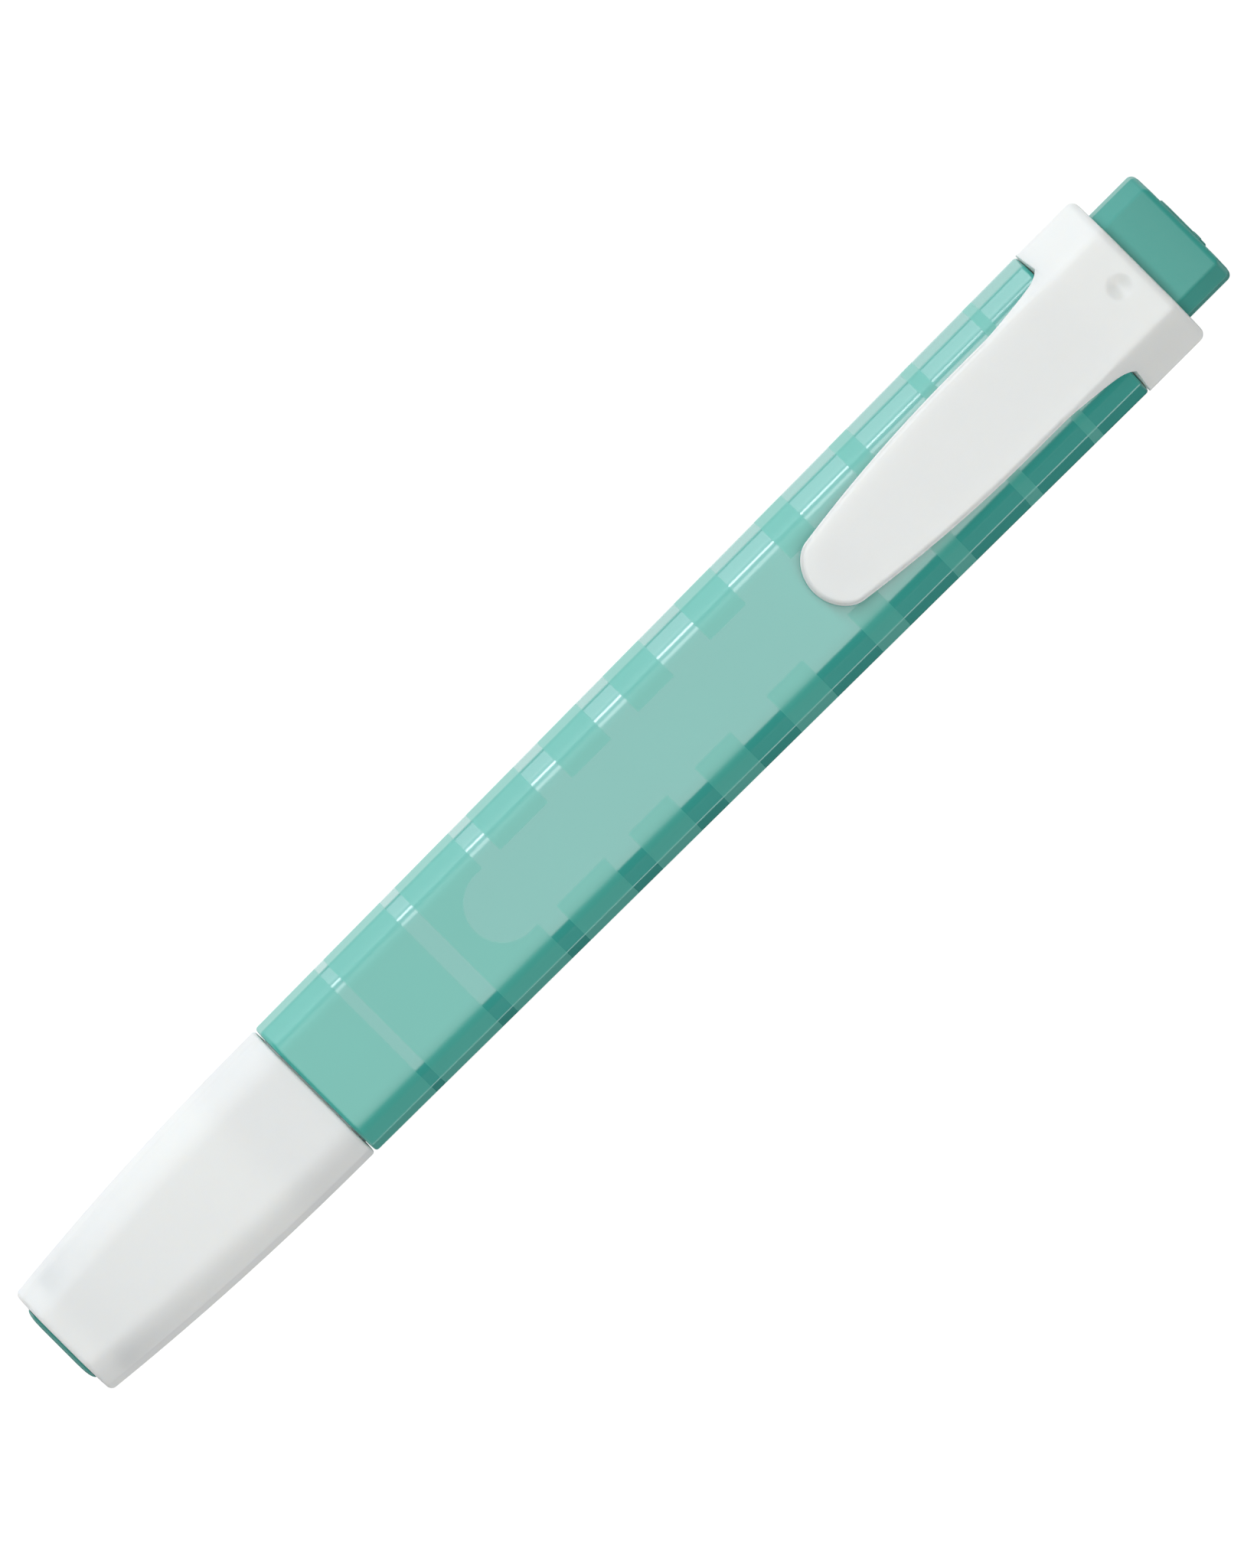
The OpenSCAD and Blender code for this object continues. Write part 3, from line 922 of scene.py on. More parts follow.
@dataclass(frozen=True)
class Stations:
    """Where the frame puts each piece along the pen, and its outer half sizes, in millimetres.

    Attributes:
        axis: Height of the pen's axis.
        disc_tip: Outer end of the cap's disc.
        nose: The cap's closed end.
        mouth: The cap's open end.
        front: The barrel's front end.
        rear: The barrel's rear end.
        collar: The collar's front edge.
        back: The collar's rear edge.
        tail: Outer end of the plug.
        shank: Inner end of the plug.
        section_tip: Front end of the section.
        insert: The section's end inside the barrel.
        nib_tip: The nib's writing tip.
        nib_back: The nib's hidden end.
        blade_tip: The blade's tip.
        blade_top: Height of the blade's top face.
        nub_bottom: Height of the grip nub's lowest point.
        cap_half_w: Half width of the cap's mouth.
        front_half_w: Half width of the barrel's front end.
        rear_half_w: Half width of the barrel's rear end.
        half_h: Half height of the barrel.
    """

    axis: float
    disc_tip: float
    nose: float
    mouth: float
    front: float
    rear: float
    collar: float
    back: float
    tail: float
    shank: float
    section_tip: float
    insert: float
    nib_tip: float
    nib_back: float
    blade_tip: float
    blade_top: float
    nub_bottom: float
    cap_half_w: float
    front_half_w: float
    rear_half_w: float
    half_h: float

    @classmethod
    def read(cls) -> "Stations":
        """Reads the stations from the frame's boxes.

        Returns:
            The stations.
        """
        shell, barrel, collar = extent("cap_shell"), extent("barrel"), extent("clip_collar")
        plug, section, nib = extent("end_plug"), extent("front_section"), extent("nib")
        blade, disc = extent("clip_blade"), extent("cap_disc")
        half_h = (barrel[1][2] - barrel[0][2]) / 2
        return cls(
            axis=barrel[0][2] + half_h, disc_tip=disc[0][0], nose=shell[0][0], mouth=shell[1][0],
            front=barrel[0][0], rear=barrel[1][0], collar=collar[0][0], back=collar[1][0],
            tail=plug[1][0], shank=plug[0][0], section_tip=section[0][0], insert=section[1][0],
            nib_tip=nib[0][0], nib_back=nib[1][0], blade_tip=blade[0][0], blade_top=blade[1][2],
            nub_bottom=blade[0][2], cap_half_w=shell[1][1], front_half_w=shell[1][1] + CAP_SHY,
            rear_half_w=barrel[1][1], half_h=half_h,
        )


# ------------------------------------------------------------------------------- cap


@dataclass
class Cap:
    """The pull-off cap: a drawn-in outer body with a stepped bore, and a disc let into its nose.

    Attributes:
        at: The pen's stations.
        draw_w: How much each side draws in from mouth to nose.
        draw_h: The same on the two broad faces.
        power: How late that draw comes.
        nose_r: Radius of the nose edge.
        mouth_r: Radius of the mouth edge.
        bore: Half sizes of the bore that slides over the neck.
        deep: Half sizes of the deeper cavity.
        bore_depth: Depth of the bore.
        lead: Size of the bevel that leads into the bore.
        groove_at: Distance from the mouth to the snap groove's middle.
        groove: Depth of the snap groove.
        groove_half: Half widths of the groove's floor and of its opening.
        nose_wall: Thickness of the closed nose.
        seat: Half sizes of the disc's seat.
        seat_depth: Depth of that seat.
        seat_lead: Size of the bevel round the seat.
        fit: Gap round the disc.
        disc_step: Depth of the fine step round the disc's edge.
        disc_drop: How far the disc's dome draws in past that step.
        disc_rings: Rings in the dome.
    """

    at: Stations
    draw_w: float = 1.54
    draw_h: float = 1.3
    power: float = 2.1
    nose_r: float = 0.5
    mouth_r: float = 0.3
    bore: tuple[float, float] = (6.24, 4.31)
    deep: tuple[float, float] = (5.02, 3.36)
    bore_depth: float = 7.25
    lead: float = 0.15
    groove_at: float = 3.35
    groove: float = 0.06
    groove_half: tuple[float, float] = (0.45, 0.6)
    nose_wall: float = 2.5
    seat: tuple[float, float] = (4.4, 2.71)
    seat_depth: float = 1.0
    seat_lead: float = 0.08
    fit: float = 0.05
    disc_step: float = 0.25
    disc_drop: float = 1.6
    disc_rings: int = 10

    def build(self, tree: SkinTree, body: bpy.types.Material, disc: bpy.types.Material) -> None:
        """Builds and hangs the cap's pieces.

        Args:
            tree: The skin tree.
            body: Finish of the cap's body.
            disc: Finish of the disc.
        """
        report(self._body(tree, body), "cap", "white_cap", "cap_shell")
        report(self._disc(disc), "cap", "turquoise_plug", "cap_disc")

    def _body(self, tree: SkinTree, material: bpy.types.Material) -> bpy.types.Object:
        """Builds the cap's body, with its nose seat, snap groove and stepped bore.

        Args:
            tree: The skin tree.
            material: The body's finish.

        Returns:
            The body.
        """
        at = self.at
        skin = DrawnSkin(Section(ridge_r=1.2, face_r=3.24), half_w=at.cap_half_w, half_h=at.half_h - CAP_SHY,
                         start=at.mouth, stop=at.nose, axis=at.axis, widen=-self.draw_w, lean=0.0,
                         heighten=-self.draw_h, power=self.power, edges=(self.mouth_r, self.nose_r), rings=90)
        mesh = skin.build(tree, material)
        seat = block(*self.seat)
        bevel = block(*grown(self.seat, self.seat_lead))
        Loft([(at.nose + self.seat_depth, seat), (at.nose + self.seat_lead, seat), (at.nose, bevel),
              (at.nose, skin.end_ring(True))], at.axis, Ends.FIRST).into(mesh)
        bore = BORE.ring(*self.bore)
        wide = BORE.ring(*grown(self.bore, self.groove))
        deep = block(*self.deep)
        floor = at.mouth - self.bore_depth
        groove = at.mouth - self.groove_at
        near, far = self.groove_half
        inside = [(at.mouth, skin.end_ring(False)), (at.mouth, BORE.ring(*grown(self.bore, self.lead))),
                  (at.mouth - self.lead, bore), (groove + far, bore), (groove + near, wide),
                  (groove - near, wide), (groove - far, bore), (floor, bore), (floor, deep),
                  (at.nose + self.nose_wall, deep)]
        Loft(inside, at.axis, Ends.LAST).into(mesh)
        return finished("cap_body", mesh, material)

    def _disc(self, material: bpy.types.Material) -> bpy.types.Object:
        """Builds the disc, domed outward, with a fine step round its edge where it was pressed in.

        Args:
            material: The disc's finish.

        Returns:
            The disc.
        """
        at = self.at
        proud = at.nose - at.disc_tip
        w, h = grown(self.seat, -self.fit)
        stations = [(at.nose + self.seat_depth - self.fit, block(w, h)), (at.nose + 0.12, block(w, h)),
                    (at.nose + 0.02, block(w - 0.1, h - 0.1)),
                    (at.nose, block(w - self.disc_step, h - self.disc_step))]
        for k in range(1, self.disc_rings + 1):
            turn = math.pi / 2 * k / self.disc_rings
            drawn = self.disc_step + self.disc_drop * (1 - math.cos(turn))
            stations.append((at.nose - proud * math.sin(turn), block(w - drawn, h - drawn * 0.8, 0.6, 0.25)))
        return lofted("cap_end_disc", [Loft(stations, at.axis)], material)


# ---------------------------------------------------------------------------- barrel


@dataclass
class Barrel:
    """The long tapered tube, open at both ends.

    Attributes:
        at: The pen's stations.
        wall: Wall thickness.
        edge_r: Radius of both end edges.
        lean: The sides' lean at the front and at the rear.
    """

    at: Stations
    wall: float = 1.2
    edge_r: float = 0.3
    lean: tuple[float, float] = (0.6, 0.95)

    def build(self, tree: SkinTree, material: bpy.types.Material) -> None:
        """Builds and hangs the tube.

        Args:
            tree: The skin tree.
            material: The barrel's finish.
        """
        at = self.at
        skin = DrawnSkin(Section(lean=self.lean[0]), half_w=at.front_half_w, half_h=at.half_h, start=at.front,
                         stop=at.rear, axis=at.axis, widen=at.rear_half_w - at.front_half_w,
                         lean=self.lean[1] - self.lean[0], heighten=0.0, power=1.0,
                         edges=(self.edge_r, self.edge_r), rings=110)
        mesh = skin.build(tree, material)
        bore = BORE.ring(at.front_half_w - self.wall, at.half_h - self.wall)
        inside = [(at.front, skin.end_ring(False))]
        inside += [(x, bore) for x in (at.front, *between(at.front, at.rear, 12), at.rear)]
        inside.append((at.rear, skin.end_ring(True)))
        Loft(inside, at.axis, Ends.OPEN).into(mesh)
        report(finished("barrel_tube", mesh, material), "pen", "turquoise_barrel", "barrel")


# ----------------------------------------------------------------------- writing end


@dataclass
class WritingEnd:
    """The section that the cap slides over, and the chisel nib held in it.

    Attributes:
        at: The pen's stations.
        neck: Half sizes of the neck.
        neck_len: Length of the neck.
        bead: Height and width of the snap bead.
        land: Half sizes of the sealing land.
        land_len: Length of that land.
        taper: Half sizes of the tapered nose at its tip.
        plug: Half sizes of the plug inside the barrel.
        wall: Wall of the plug.
        neck_r: Radius of the neck's front edge.
        taper_r: Radius of the nose's front edge.
        lead: Size of the small bevels.
        nib: Half sizes of the nib.
        nib_fit: Gap round the nib.
        slant: Slope of the chisel edge across the nib, in degrees.
        worn_r: How far the chisel's edges are worn back.
        vent_w: Width of each air vent.
        vent_r: Radius of a vent's corners.
        vent_wall: Wall left outside a vent.
    """

    at: Stations
    neck: tuple[float, float] = (6.16, 4.23)
    neck_len: float = 7.0
    bead: tuple[float, float] = (0.06, 0.9)
    land: tuple[float, float] = (4.31, 2.65)
    land_len: float = 3.4
    taper: tuple[float, float] = (3.355, 2.075)
    plug: tuple[float, float] = (6.18, 4.25)
    wall: float = 1.2
    neck_r: float = 0.45
    taper_r: float = 0.3
    lead: float = 0.15
    nib: tuple[float, float] = (2.4, 1.5)
    nib_fit: float = 0.03
    slant: float = 28.0
    worn_r: float = 0.16
    vent_w: float = 0.7
    vent_r: float = 0.12
    vent_wall: float = 0.35

    def build(self, section: bpy.types.Material, fibre: bpy.types.Material) -> None:
        """Builds and hangs the section and the nib.

        Args:
            section: The section's finish.
            fibre: The nib's finish.
        """
        report(self._section(section), "pen", "section_white", "front_section")
        report(self._nib(fibre), "pen", "nib_fibre", "nib")

    def _section(self, material: bpy.types.Material) -> bpy.types.Object:
        """Builds the section as one skin from its nose to its plug, then cuts its two air vents.

        Args:
            material: The section's finish.

        Returns:
            The section.
        """
        at = self.at
        step = at.front - self.neck_len
        land = step - self.land_len
        bead = at.front - self.neck_len / 2
        hole = block(*grown(self.nib, self.nib_fit))
        inner = BORE.ring(*grown(self.plug, -self.wall))
        stations: list[Station] = [(at.front + self.wall, hole), (at.section_tip + self.lead, hole),
                                   (at.section_tip, block(*grown(self.nib, self.nib_fit + self.lead)))]
        for on, inset in rim(self.taper_r, 4):
            share = on / (land - at.section_tip)
            w, h = (self.taper[k] + (self.land[k] - self.taper[k]) * share for k in (0, 1))
            stations.append((at.section_tip + on, block(w - inset, h - inset)))
        stations += [(land - self.lead, block(self.land[0] - 0.04, self.land[1] - 0.025)),
                     (land, block(*self.land)), (land + self.lead, block(*self.land))]
        # a small fillet in the corner between land and neck
        stations += [(step - on, block(*grown(self.land, out)))
                     for on, out in ((0.2, 0.0), (0.05, 0.05), (0.0, 0.2))]
        stations += [(step + on, BORE.ring(*grown(self.neck, -inset))) for on, inset in rim(self.neck_r)]
        for share in (k / 4 - 1 for k in range(9)):
            height = self.bead[0] * math.cos(share * math.pi / 2) ** 2
            stations.append((bead + share * self.bead[1] / 2, BORE.ring(*grown(self.neck, height))))
        plug = BORE.ring(*self.plug)
        stations += [(at.front - 0.02, BORE.ring(*self.neck)), (at.front, plug), (at.insert - 0.3, plug),
                     (at.insert, BORE.ring(*grown(self.plug, -0.3))), (at.insert, inner),
                     (at.front + self.wall, inner)]
        piece = lofted("writing_section", [Loft(stations, at.axis, Ends.JOINED)], material)
        for side in Side:
            self._cut_vent(piece, side)
        piece.data.shade_smooth()
        piece.data.set_sharp_from_angle(angle=SHARP)
        return piece

    def _cut_vent(self, piece: bpy.types.Object, side: Side) -> None:
        """Cuts one air vent, from the tapered nose back into the barrel.

        Args:
            piece: The section, which is changed.
            side: Which vent.
        """
        at = self.at
        middle = side.value * (self.land[0] - self.vent_wall - self.vent_w / 2)
        half = self.vent_w / 2
        ring = rounded([(middle + half, -half), (middle + half, half), (middle - half, half),
                        (middle - half, -half)], [self.vent_r] * 4, 4)
        past = 0.5
        run = Loft([(at.section_tip - past, ring), (at.front + self.wall + past, ring)], at.axis)
        cutter = lofted("vent", [run], piece.data.materials[0])
        cut = piece.modifiers.new("vent", "BOOLEAN")
        cut.operation = "DIFFERENCE"
        cut.solver = "EXACT"
        cut.object = cutter
        evaluated = piece.evaluated_get(bpy.context.evaluated_depsgraph_get())
        result = bpy.data.meshes.new_from_object(evaluated)
        piece.modifiers.remove(cut)
        piece.data = result
        bpy.data.objects.remove(cutter)

    def _nib(self, material: bpy.types.Material) -> bpy.types.Object:
        """Builds the nib: a fibre stick cut to a slanted chisel, with its edges worn a little round.

        Args:
            material: The fibre's finish.

        Returns:
            The nib.
        """
        at = self.at
        w, h = self.nib
        ring = block(w, h, 0.9, 0.3)
        mesh = bmesh.new()
        places = (at.nib_tip, *between(at.nib_tip, at.nib_back, 30), at.nib_back)
        Loft([(x, ring) for x in places], at.axis).into(mesh)
        bmesh.ops.remove_doubles(mesh, verts=mesh.verts, dist=MM * 2e-3)
        across = math.radians(self.slant)
        cuts = [((at.nib_tip, -w, at.axis), (-math.cos(across), math.sin(across), 0.0))]
        for up in (1, -1):
            cuts.append(((at.nib_tip, 0.0, at.axis + up * 0.35), (-2.65, 0.0, up * 2.4)))
        for point, normal in cuts:
            geometry = [*mesh.verts, *mesh.edges, *mesh.faces]
            cut = bmesh.ops.bisect_plane(mesh, geom=geometry, plane_co=Vector(point) * MM,
                                         plane_no=Vector(normal).normalized(), clear_outer=True)
            edges = [e for e in cut["geom_cut"] if isinstance(e, bmesh.types.BMEdge)]
            bmesh.ops.edgenet_fill(mesh, edges=edges)
        bmesh.ops.recalc_face_normals(mesh, faces=mesh.faces)
        steep = math.radians(20.0)
        sharp = [e for e in mesh.edges if len(e.link_faces) == 2 and e.calc_face_angle(0.0) > steep]
        bmesh.ops.bevel(mesh, geom=sharp, offset=self.worn_r * MM, segments=3, profile=0.5, affect="EDGES",
                        clamp_overlap=True)
        return finished("chisel_nib", mesh, material)


# -------------------------------------------------------------------- clip and collar


@dataclass
class ClipMoulding:
    """Collar and pocket clip in one moulding: the blade springs from the collar's raised top.

    Attributes:
        at: The pen's stations.
        half_w: Half width of the collar.
        top_half: Half width of the collar's raised top face.
        top_r: Radius of the edges beside that face.
        lean: The sides' lean below the axis.
        back_r: Radius of the collar's rear edge.
        skirt: How far the skirt's front edge runs ahead of the blade's root.
        facet: Width and height of the facets beside the collar's back face.
        bore: Half sizes of the bore round the plug.
        blade_t: Thickness of the blade.
        sliver: What the facets leave of the blade's side at its root.
        tip_len: Length of the blade's round tip.
        tip_half: Half width that the tip starts from.
        mid_half: Half width of the blade's middle.
        swell_len: Length over which the blade widens.
        flare_len: Length of the flare into the collar.
        edge: Size of the blade's softened edge.
        edge_r: Radius of that edge along the top.
        side_r: Radius of the blade's lower edges.
        merge_len: Length over which the blade's radii turn into the collar's.
        least_half: Narrowest half width for which a section is drawn; a narrower one is pressed together.
        square: Distance from the tip at which rings stand square, and the length over which they turn.
        bend_len: Length ahead of the collar over which the blade bends.
        nub: Length and width of the grip nub.
        nub_at: Distance of the nub from the tip.
        nub_root: How far the nub reaches up into the blade.
        nub_r: Radius of the nub's edges.
        dimple: Radius and depth of the finger dimple.
        dimple_at: Distance of the dimple from the collar's back.
    """

    at: Stations
    half_w: float = 8.2
    top_half: float = 4.6
    top_r: float = 1.0
    lean: float = 0.95
    back_r: float = 0.75
    skirt: float = 0.25
    facet: tuple[float, float] = (1.8, 1.9)
    bore: tuple[float, float] = (6.23, 4.3)
    blade_t: float = 1.6
    sliver: float = 0.002
    tip_len: float = 2.6
    tip_half: float = 3.15
    mid_half: float = 4.9
    swell_len: float = 22.0
    flare_len: float = 7.26
    edge: float = 0.36
    edge_r: float = 0.4
    side_r: float = 0.3
    merge_len: float = 1.5
    least_half: float = 3.0
    square: tuple[float, float] = (24.0, 4.0)
    bend_len: float = 6.0
    nub: tuple[float, float] = (3.2, 4.4)
    nub_at: float = 3.4
    nub_root: float = 0.4
    nub_r: float = 0.25
    dimple: tuple[float, float] = (1.3, 0.3)
    dimple_at: float = 2.5

    def build(self, material: bpy.types.Material) -> None:
        """Builds the moulding in place of the frame's collar and blade.

        Args:
            material: The moulding's finish.
        """
        at = self.at
        mesh = bmesh.new()
        collar = Loft(self._collar_stations(), at.axis, Ends.OPEN).into(mesh)
        blade = Loft(self._blade_stations(), at.axis, Ends.OPEN).into(mesh)
        bore_ring = BORE.ring(*self.bore)
        bore = Loft([(at.collar, bore_ring), (at.back, bore_ring)], at.axis, Ends.OPEN).into(mesh)
        shared = 3 * CORNER + len(self._across())
        lower = [*collar[0][:CORNER + 1], *collar[0][shared + CORNER:]]
        under = blade[-1][-len(self._under()):]
        zip_rings(mesh, [*lower, *under], bore[0], at.axis)
        zip_rings(mesh, collar[-1], bore[1], at.axis)
        Loft(self._nub_stations(), at.axis).into(mesh)
        self._press_dimple(mesh)
        piece = finished("clip_moulding", mesh, material)
        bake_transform(piece)
        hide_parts("clip_collar", "clip_blade")
        LOG.info("%s: %d faces, bending from pen to clip", piece.name, len(piece.data.polygons))

    def _across(self) -> np.ndarray:
        """Lists places across the top face, closest round the dimple.

        Returns:
            The places, as shares of the face's half width.
        """
        dense = np.linspace(-0.38, 0.38, 33)
        wide = np.linspace(0.46, 0.94, 6)
        return np.concatenate([-wide[::-1], dense, wide])[::-1]

    def _under(self) -> np.ndarray:
        """Lists places across the blade's underside, as shares of its half width."""
        return np.linspace(-0.9, 0.9, 13)

    def _spanned(self, ring: np.ndarray, first: int, last: int, shares: np.ndarray) -> np.ndarray:
        """Adds points across a flat between two neighbouring ring points.

        Args:
            ring: The ring.
            first: Index of the point before the flat.
            last: Index of the point after it.
            shares: Places across, from 1 at the first point to -1 at the last.

        Returns:
            The added points.
        """
        a, b = ring[first], ring[last]
        return (a + b) / 2 + shares[:, None] * (a - b) / 2

    def _collar_ring(self, inset: float) -> np.ndarray:
        """Makes the collar's outline, with the blade's root marked on its facets.

        Args:
            inset: How far the outline is drawn in.

        Returns:
            The outline's points about the pen's axis.
        """
        at = self.at
        w = self.half_w - inset
        top = at.blade_top - at.axis - inset
        top_half = self.top_half - inset * 0.4
        knee = self._knee()
        back = at.half_h - inset
        ridge = w - self.lean
        face = ridge - self.facet[0]
        share = (self.blade_t - self.sliver) / (top - knee + inset)
        root = (top_half + (w - top_half) * share, top + (knee - top) * share)
        corners = [(w, knee), root, (top_half, top), (-top_half, top), (-root[0], root[1]), (-w, knee),
                   (-w, 0), (-ridge, self.facet[1] - back), (-face, -back), (face, -back),
                   (ridge, self.facet[1] - back), (w, 0)]
        radii = [1.0, 1e-4, self.top_r, self.top_r, 1e-4, 1.0, 1.0, 0.8, 2.4, 2.4, 0.8, 1.0]
        ring = rounded(corners, radii)
        split = 3 * CORNER
        over = self._spanned(ring, split - 1, split, self._across())
        return np.concatenate([ring[:split], over, ring[split:]])

    def _knee(self) -> float:
        """Tells the height above the axis at which the collar's upper facets start."""
        return self.at.blade_top - self.at.axis - (self.half_w - self.top_half)

    def _collar_stations(self) -> list[Station]:
        """Lists the collar's rings.

        Returns:
            The stations, from its slanted front edge to its rounded rear edge.
        """
        at = self.at
        ring = self._collar_ring(0.0)
        knee = self._knee()
        under = at.blade_top - at.axis - self.blade_t
        rise = np.clip((ring[:, 1] - knee) / (under - knee), 0, 1)
        stations: list[Station] = [(at.collar + self.skirt * rise, ring)]
        middle = at.back - self.dimple_at
        # rings stand close where the dimple is pressed in
        first, near, far = at.collar + self.skirt + 0.15, middle - 1.5, middle + 1.5
        places = [first, *between(first, near, 5), *np.linspace(near, far, 31)]
        stations += [(x, ring) for x in places]
        stations += [(at.back - on, self._collar_ring(inset)) for on, inset in reversed(rim(self.back_r, 8))]
        return stations

    def _half(self, s: np.ndarray) -> np.ndarray:
        """Tells the blade's half width.

        Args:
            s: Distances from the tip.

        Returns:
            The half width at each.
        """
        root = self._root()
        t = np.clip(s / self.swell_len, 0, 1)
        broad = self.tip_half + (self.mid_half - self.tip_half) * (1 - (1 - t) ** 2)
        round_end = np.sqrt(1 - (1 - np.clip(s / self.tip_len, 0, 1)) ** 2)
        flare = np.clip((s - root + self.flare_len) / self.flare_len, 0, 1)
        full = self.top_half + self.blade_t - self.sliver
        gain = full - self.mid_half
        return broad * round_end + gain * (0.58 * flare ** 1.3 + 0.42 * flare ** 12)

    def _root(self) -> float:
        """Tells the blade's length from its tip to the collar's front."""
        return self.at.collar + self.skirt - self.at.blade_tip

    def _blade_stations(self) -> list[Station]:
        """Lists the blade's rings.

        Returns:
            The stations, from its tip to its root.
        """
        at = self.at
        root = self._root()
        tip = self.tip_len * (1 - np.cos(np.linspace(0, math.pi / 2, 19)))
        s = np.concatenate([tip, np.linspace(self.tip_len, root, 66)[1:]])
        half = self._half(s)
        mirrored_s = np.concatenate([s[:0:-1], s])
        mirrored_half = np.concatenate([-half[:0:-1], half])
        along = np.gradient(mirrored_s)[len(s) - 1:]
        out = np.gradient(mirrored_half)[len(s) - 1:]
        length = np.hypot(along, out)
        # rings bow round the tip, and stand square again before the flare
        square_at, over = self.square
        fade = np.clip((square_at - s) / over, 0, 1)
        normal_x = fade * out / length
        normal_y = fade * along / length + (1 - fade)
        stations: list[Station] = []
        for k, here in enumerate(s):
            ring, inset = self._blade_ring(float(half[k]), float(here))
            inward = np.maximum(half[k] - np.abs(ring[:, 0]), 0.0)
            y = np.sign(ring[:, 0]) * np.maximum(half[k] - inward * normal_y[k], 0.0)
            x = at.blade_tip + here + np.minimum(inset, self.edge * 1.5) * normal_x[k]
            stations.append((x, np.stack([y, ring[:, 1]], axis=1)))
        return stations

    def _blade_ring(self, half: float, s: float) -> tuple[np.ndarray, np.ndarray]:
        """Makes the blade's section at distance s from its tip.

        Args:
            half: Half width there.
            s: Distance from the tip.

        Returns:
            The section's points about the pen's axis, from one lower edge round over the top, and how far
            each stands in from the side.
        """
        at = self.at
        top = at.blade_top - at.axis
        low = top - self.blade_t
        root = self._root()
        grow = float(np.clip((s - root + self.merge_len) / self.merge_len, 0, 1))
        chamfer = min(max(self.edge, half - self.top_half), self.blade_t - self.sliver)
        soft = self.side_r * (1 - grow) + 1e-4
        upper = min(self.edge_r + (self.top_r - self.edge_r) * grow, chamfer * 1.5)
        wide = max(half, self.least_half)
        corners = [(wide, low), (wide, top - chamfer), (wide - chamfer, top),
                   (chamfer - wide, top), (-wide, top - chamfer), (-wide, low)]
        below = min(soft, (self.blade_t - chamfer) * 0.45)
        beside = min(soft * 1.2, (self.blade_t - chamfer) * 0.5) + 1e-4
        ring = rounded(corners, [below, beside, upper, upper, beside, below])
        split = 3 * CORNER
        over = self._spanned(ring, split - 1, split, self._across())
        under = self._spanned(ring, -1, 0, -self._under()[::-1])
        ring = np.concatenate([ring[:split], over, ring[split:], under])
        narrower = wide - half
        side = np.sign(ring[:, 0])
        reach = np.abs(ring[:, 0])
        inset = wide - reach
        ring[:, 0] = side * np.maximum(reach - narrower * np.clip(reach / (wide - chamfer), 0, 1), 1e-6)
        return ring, inset

    def _nub_stations(self) -> list[Station]:
        """Lists the rings of the grip nub, a low rounded bar across the underside of the tip.

        Returns:
            The stations, from its front end to its rear.
        """
        at = self.at
        length, width = self.nub
        low = at.blade_top - at.axis - self.blade_t
        drop = at.blade_top - self.blade_t - at.nub_bottom
        middle = at.blade_tip + self.nub_at
        stations: list[Station] = []
        for share in (k / 8 - 1 for k in range(17)):
            depth = drop * (1 - share * share)
            half_h = (depth + self.nub_root) / 2
            ring = rounded([(width / 2, -half_h), (width / 2, half_h), (-width / 2, half_h),
                            (-width / 2, -half_h)], [min(self.nub_r, half_h * 0.8)] * 4, 4)
            lift = np.array([0.0, low + self.nub_root - half_h])
            stations.append((middle + share * length / 2, ring + lift))
        return stations

    def _press_dimple(self, mesh: bmesh.types.BMesh) -> None:
        """Presses the finger dimple into the collar's top face.

        Args:
            mesh: The moulding, in metres.
        """
        at = self.at
        radius, depth = self.dimple
        for vert in mesh.verts:
            away = math.hypot(vert.co.x / MM - at.back + self.dimple_at, vert.co.y / MM)
            if away < radius and vert.co.z / MM > at.blade_top - 0.01:
                vert.co.z -= depth * MM * (0.5 + 0.5 * math.cos(math.pi * away / radius)) ** 0.8


# -------------------------------------------------------------------------- end plug


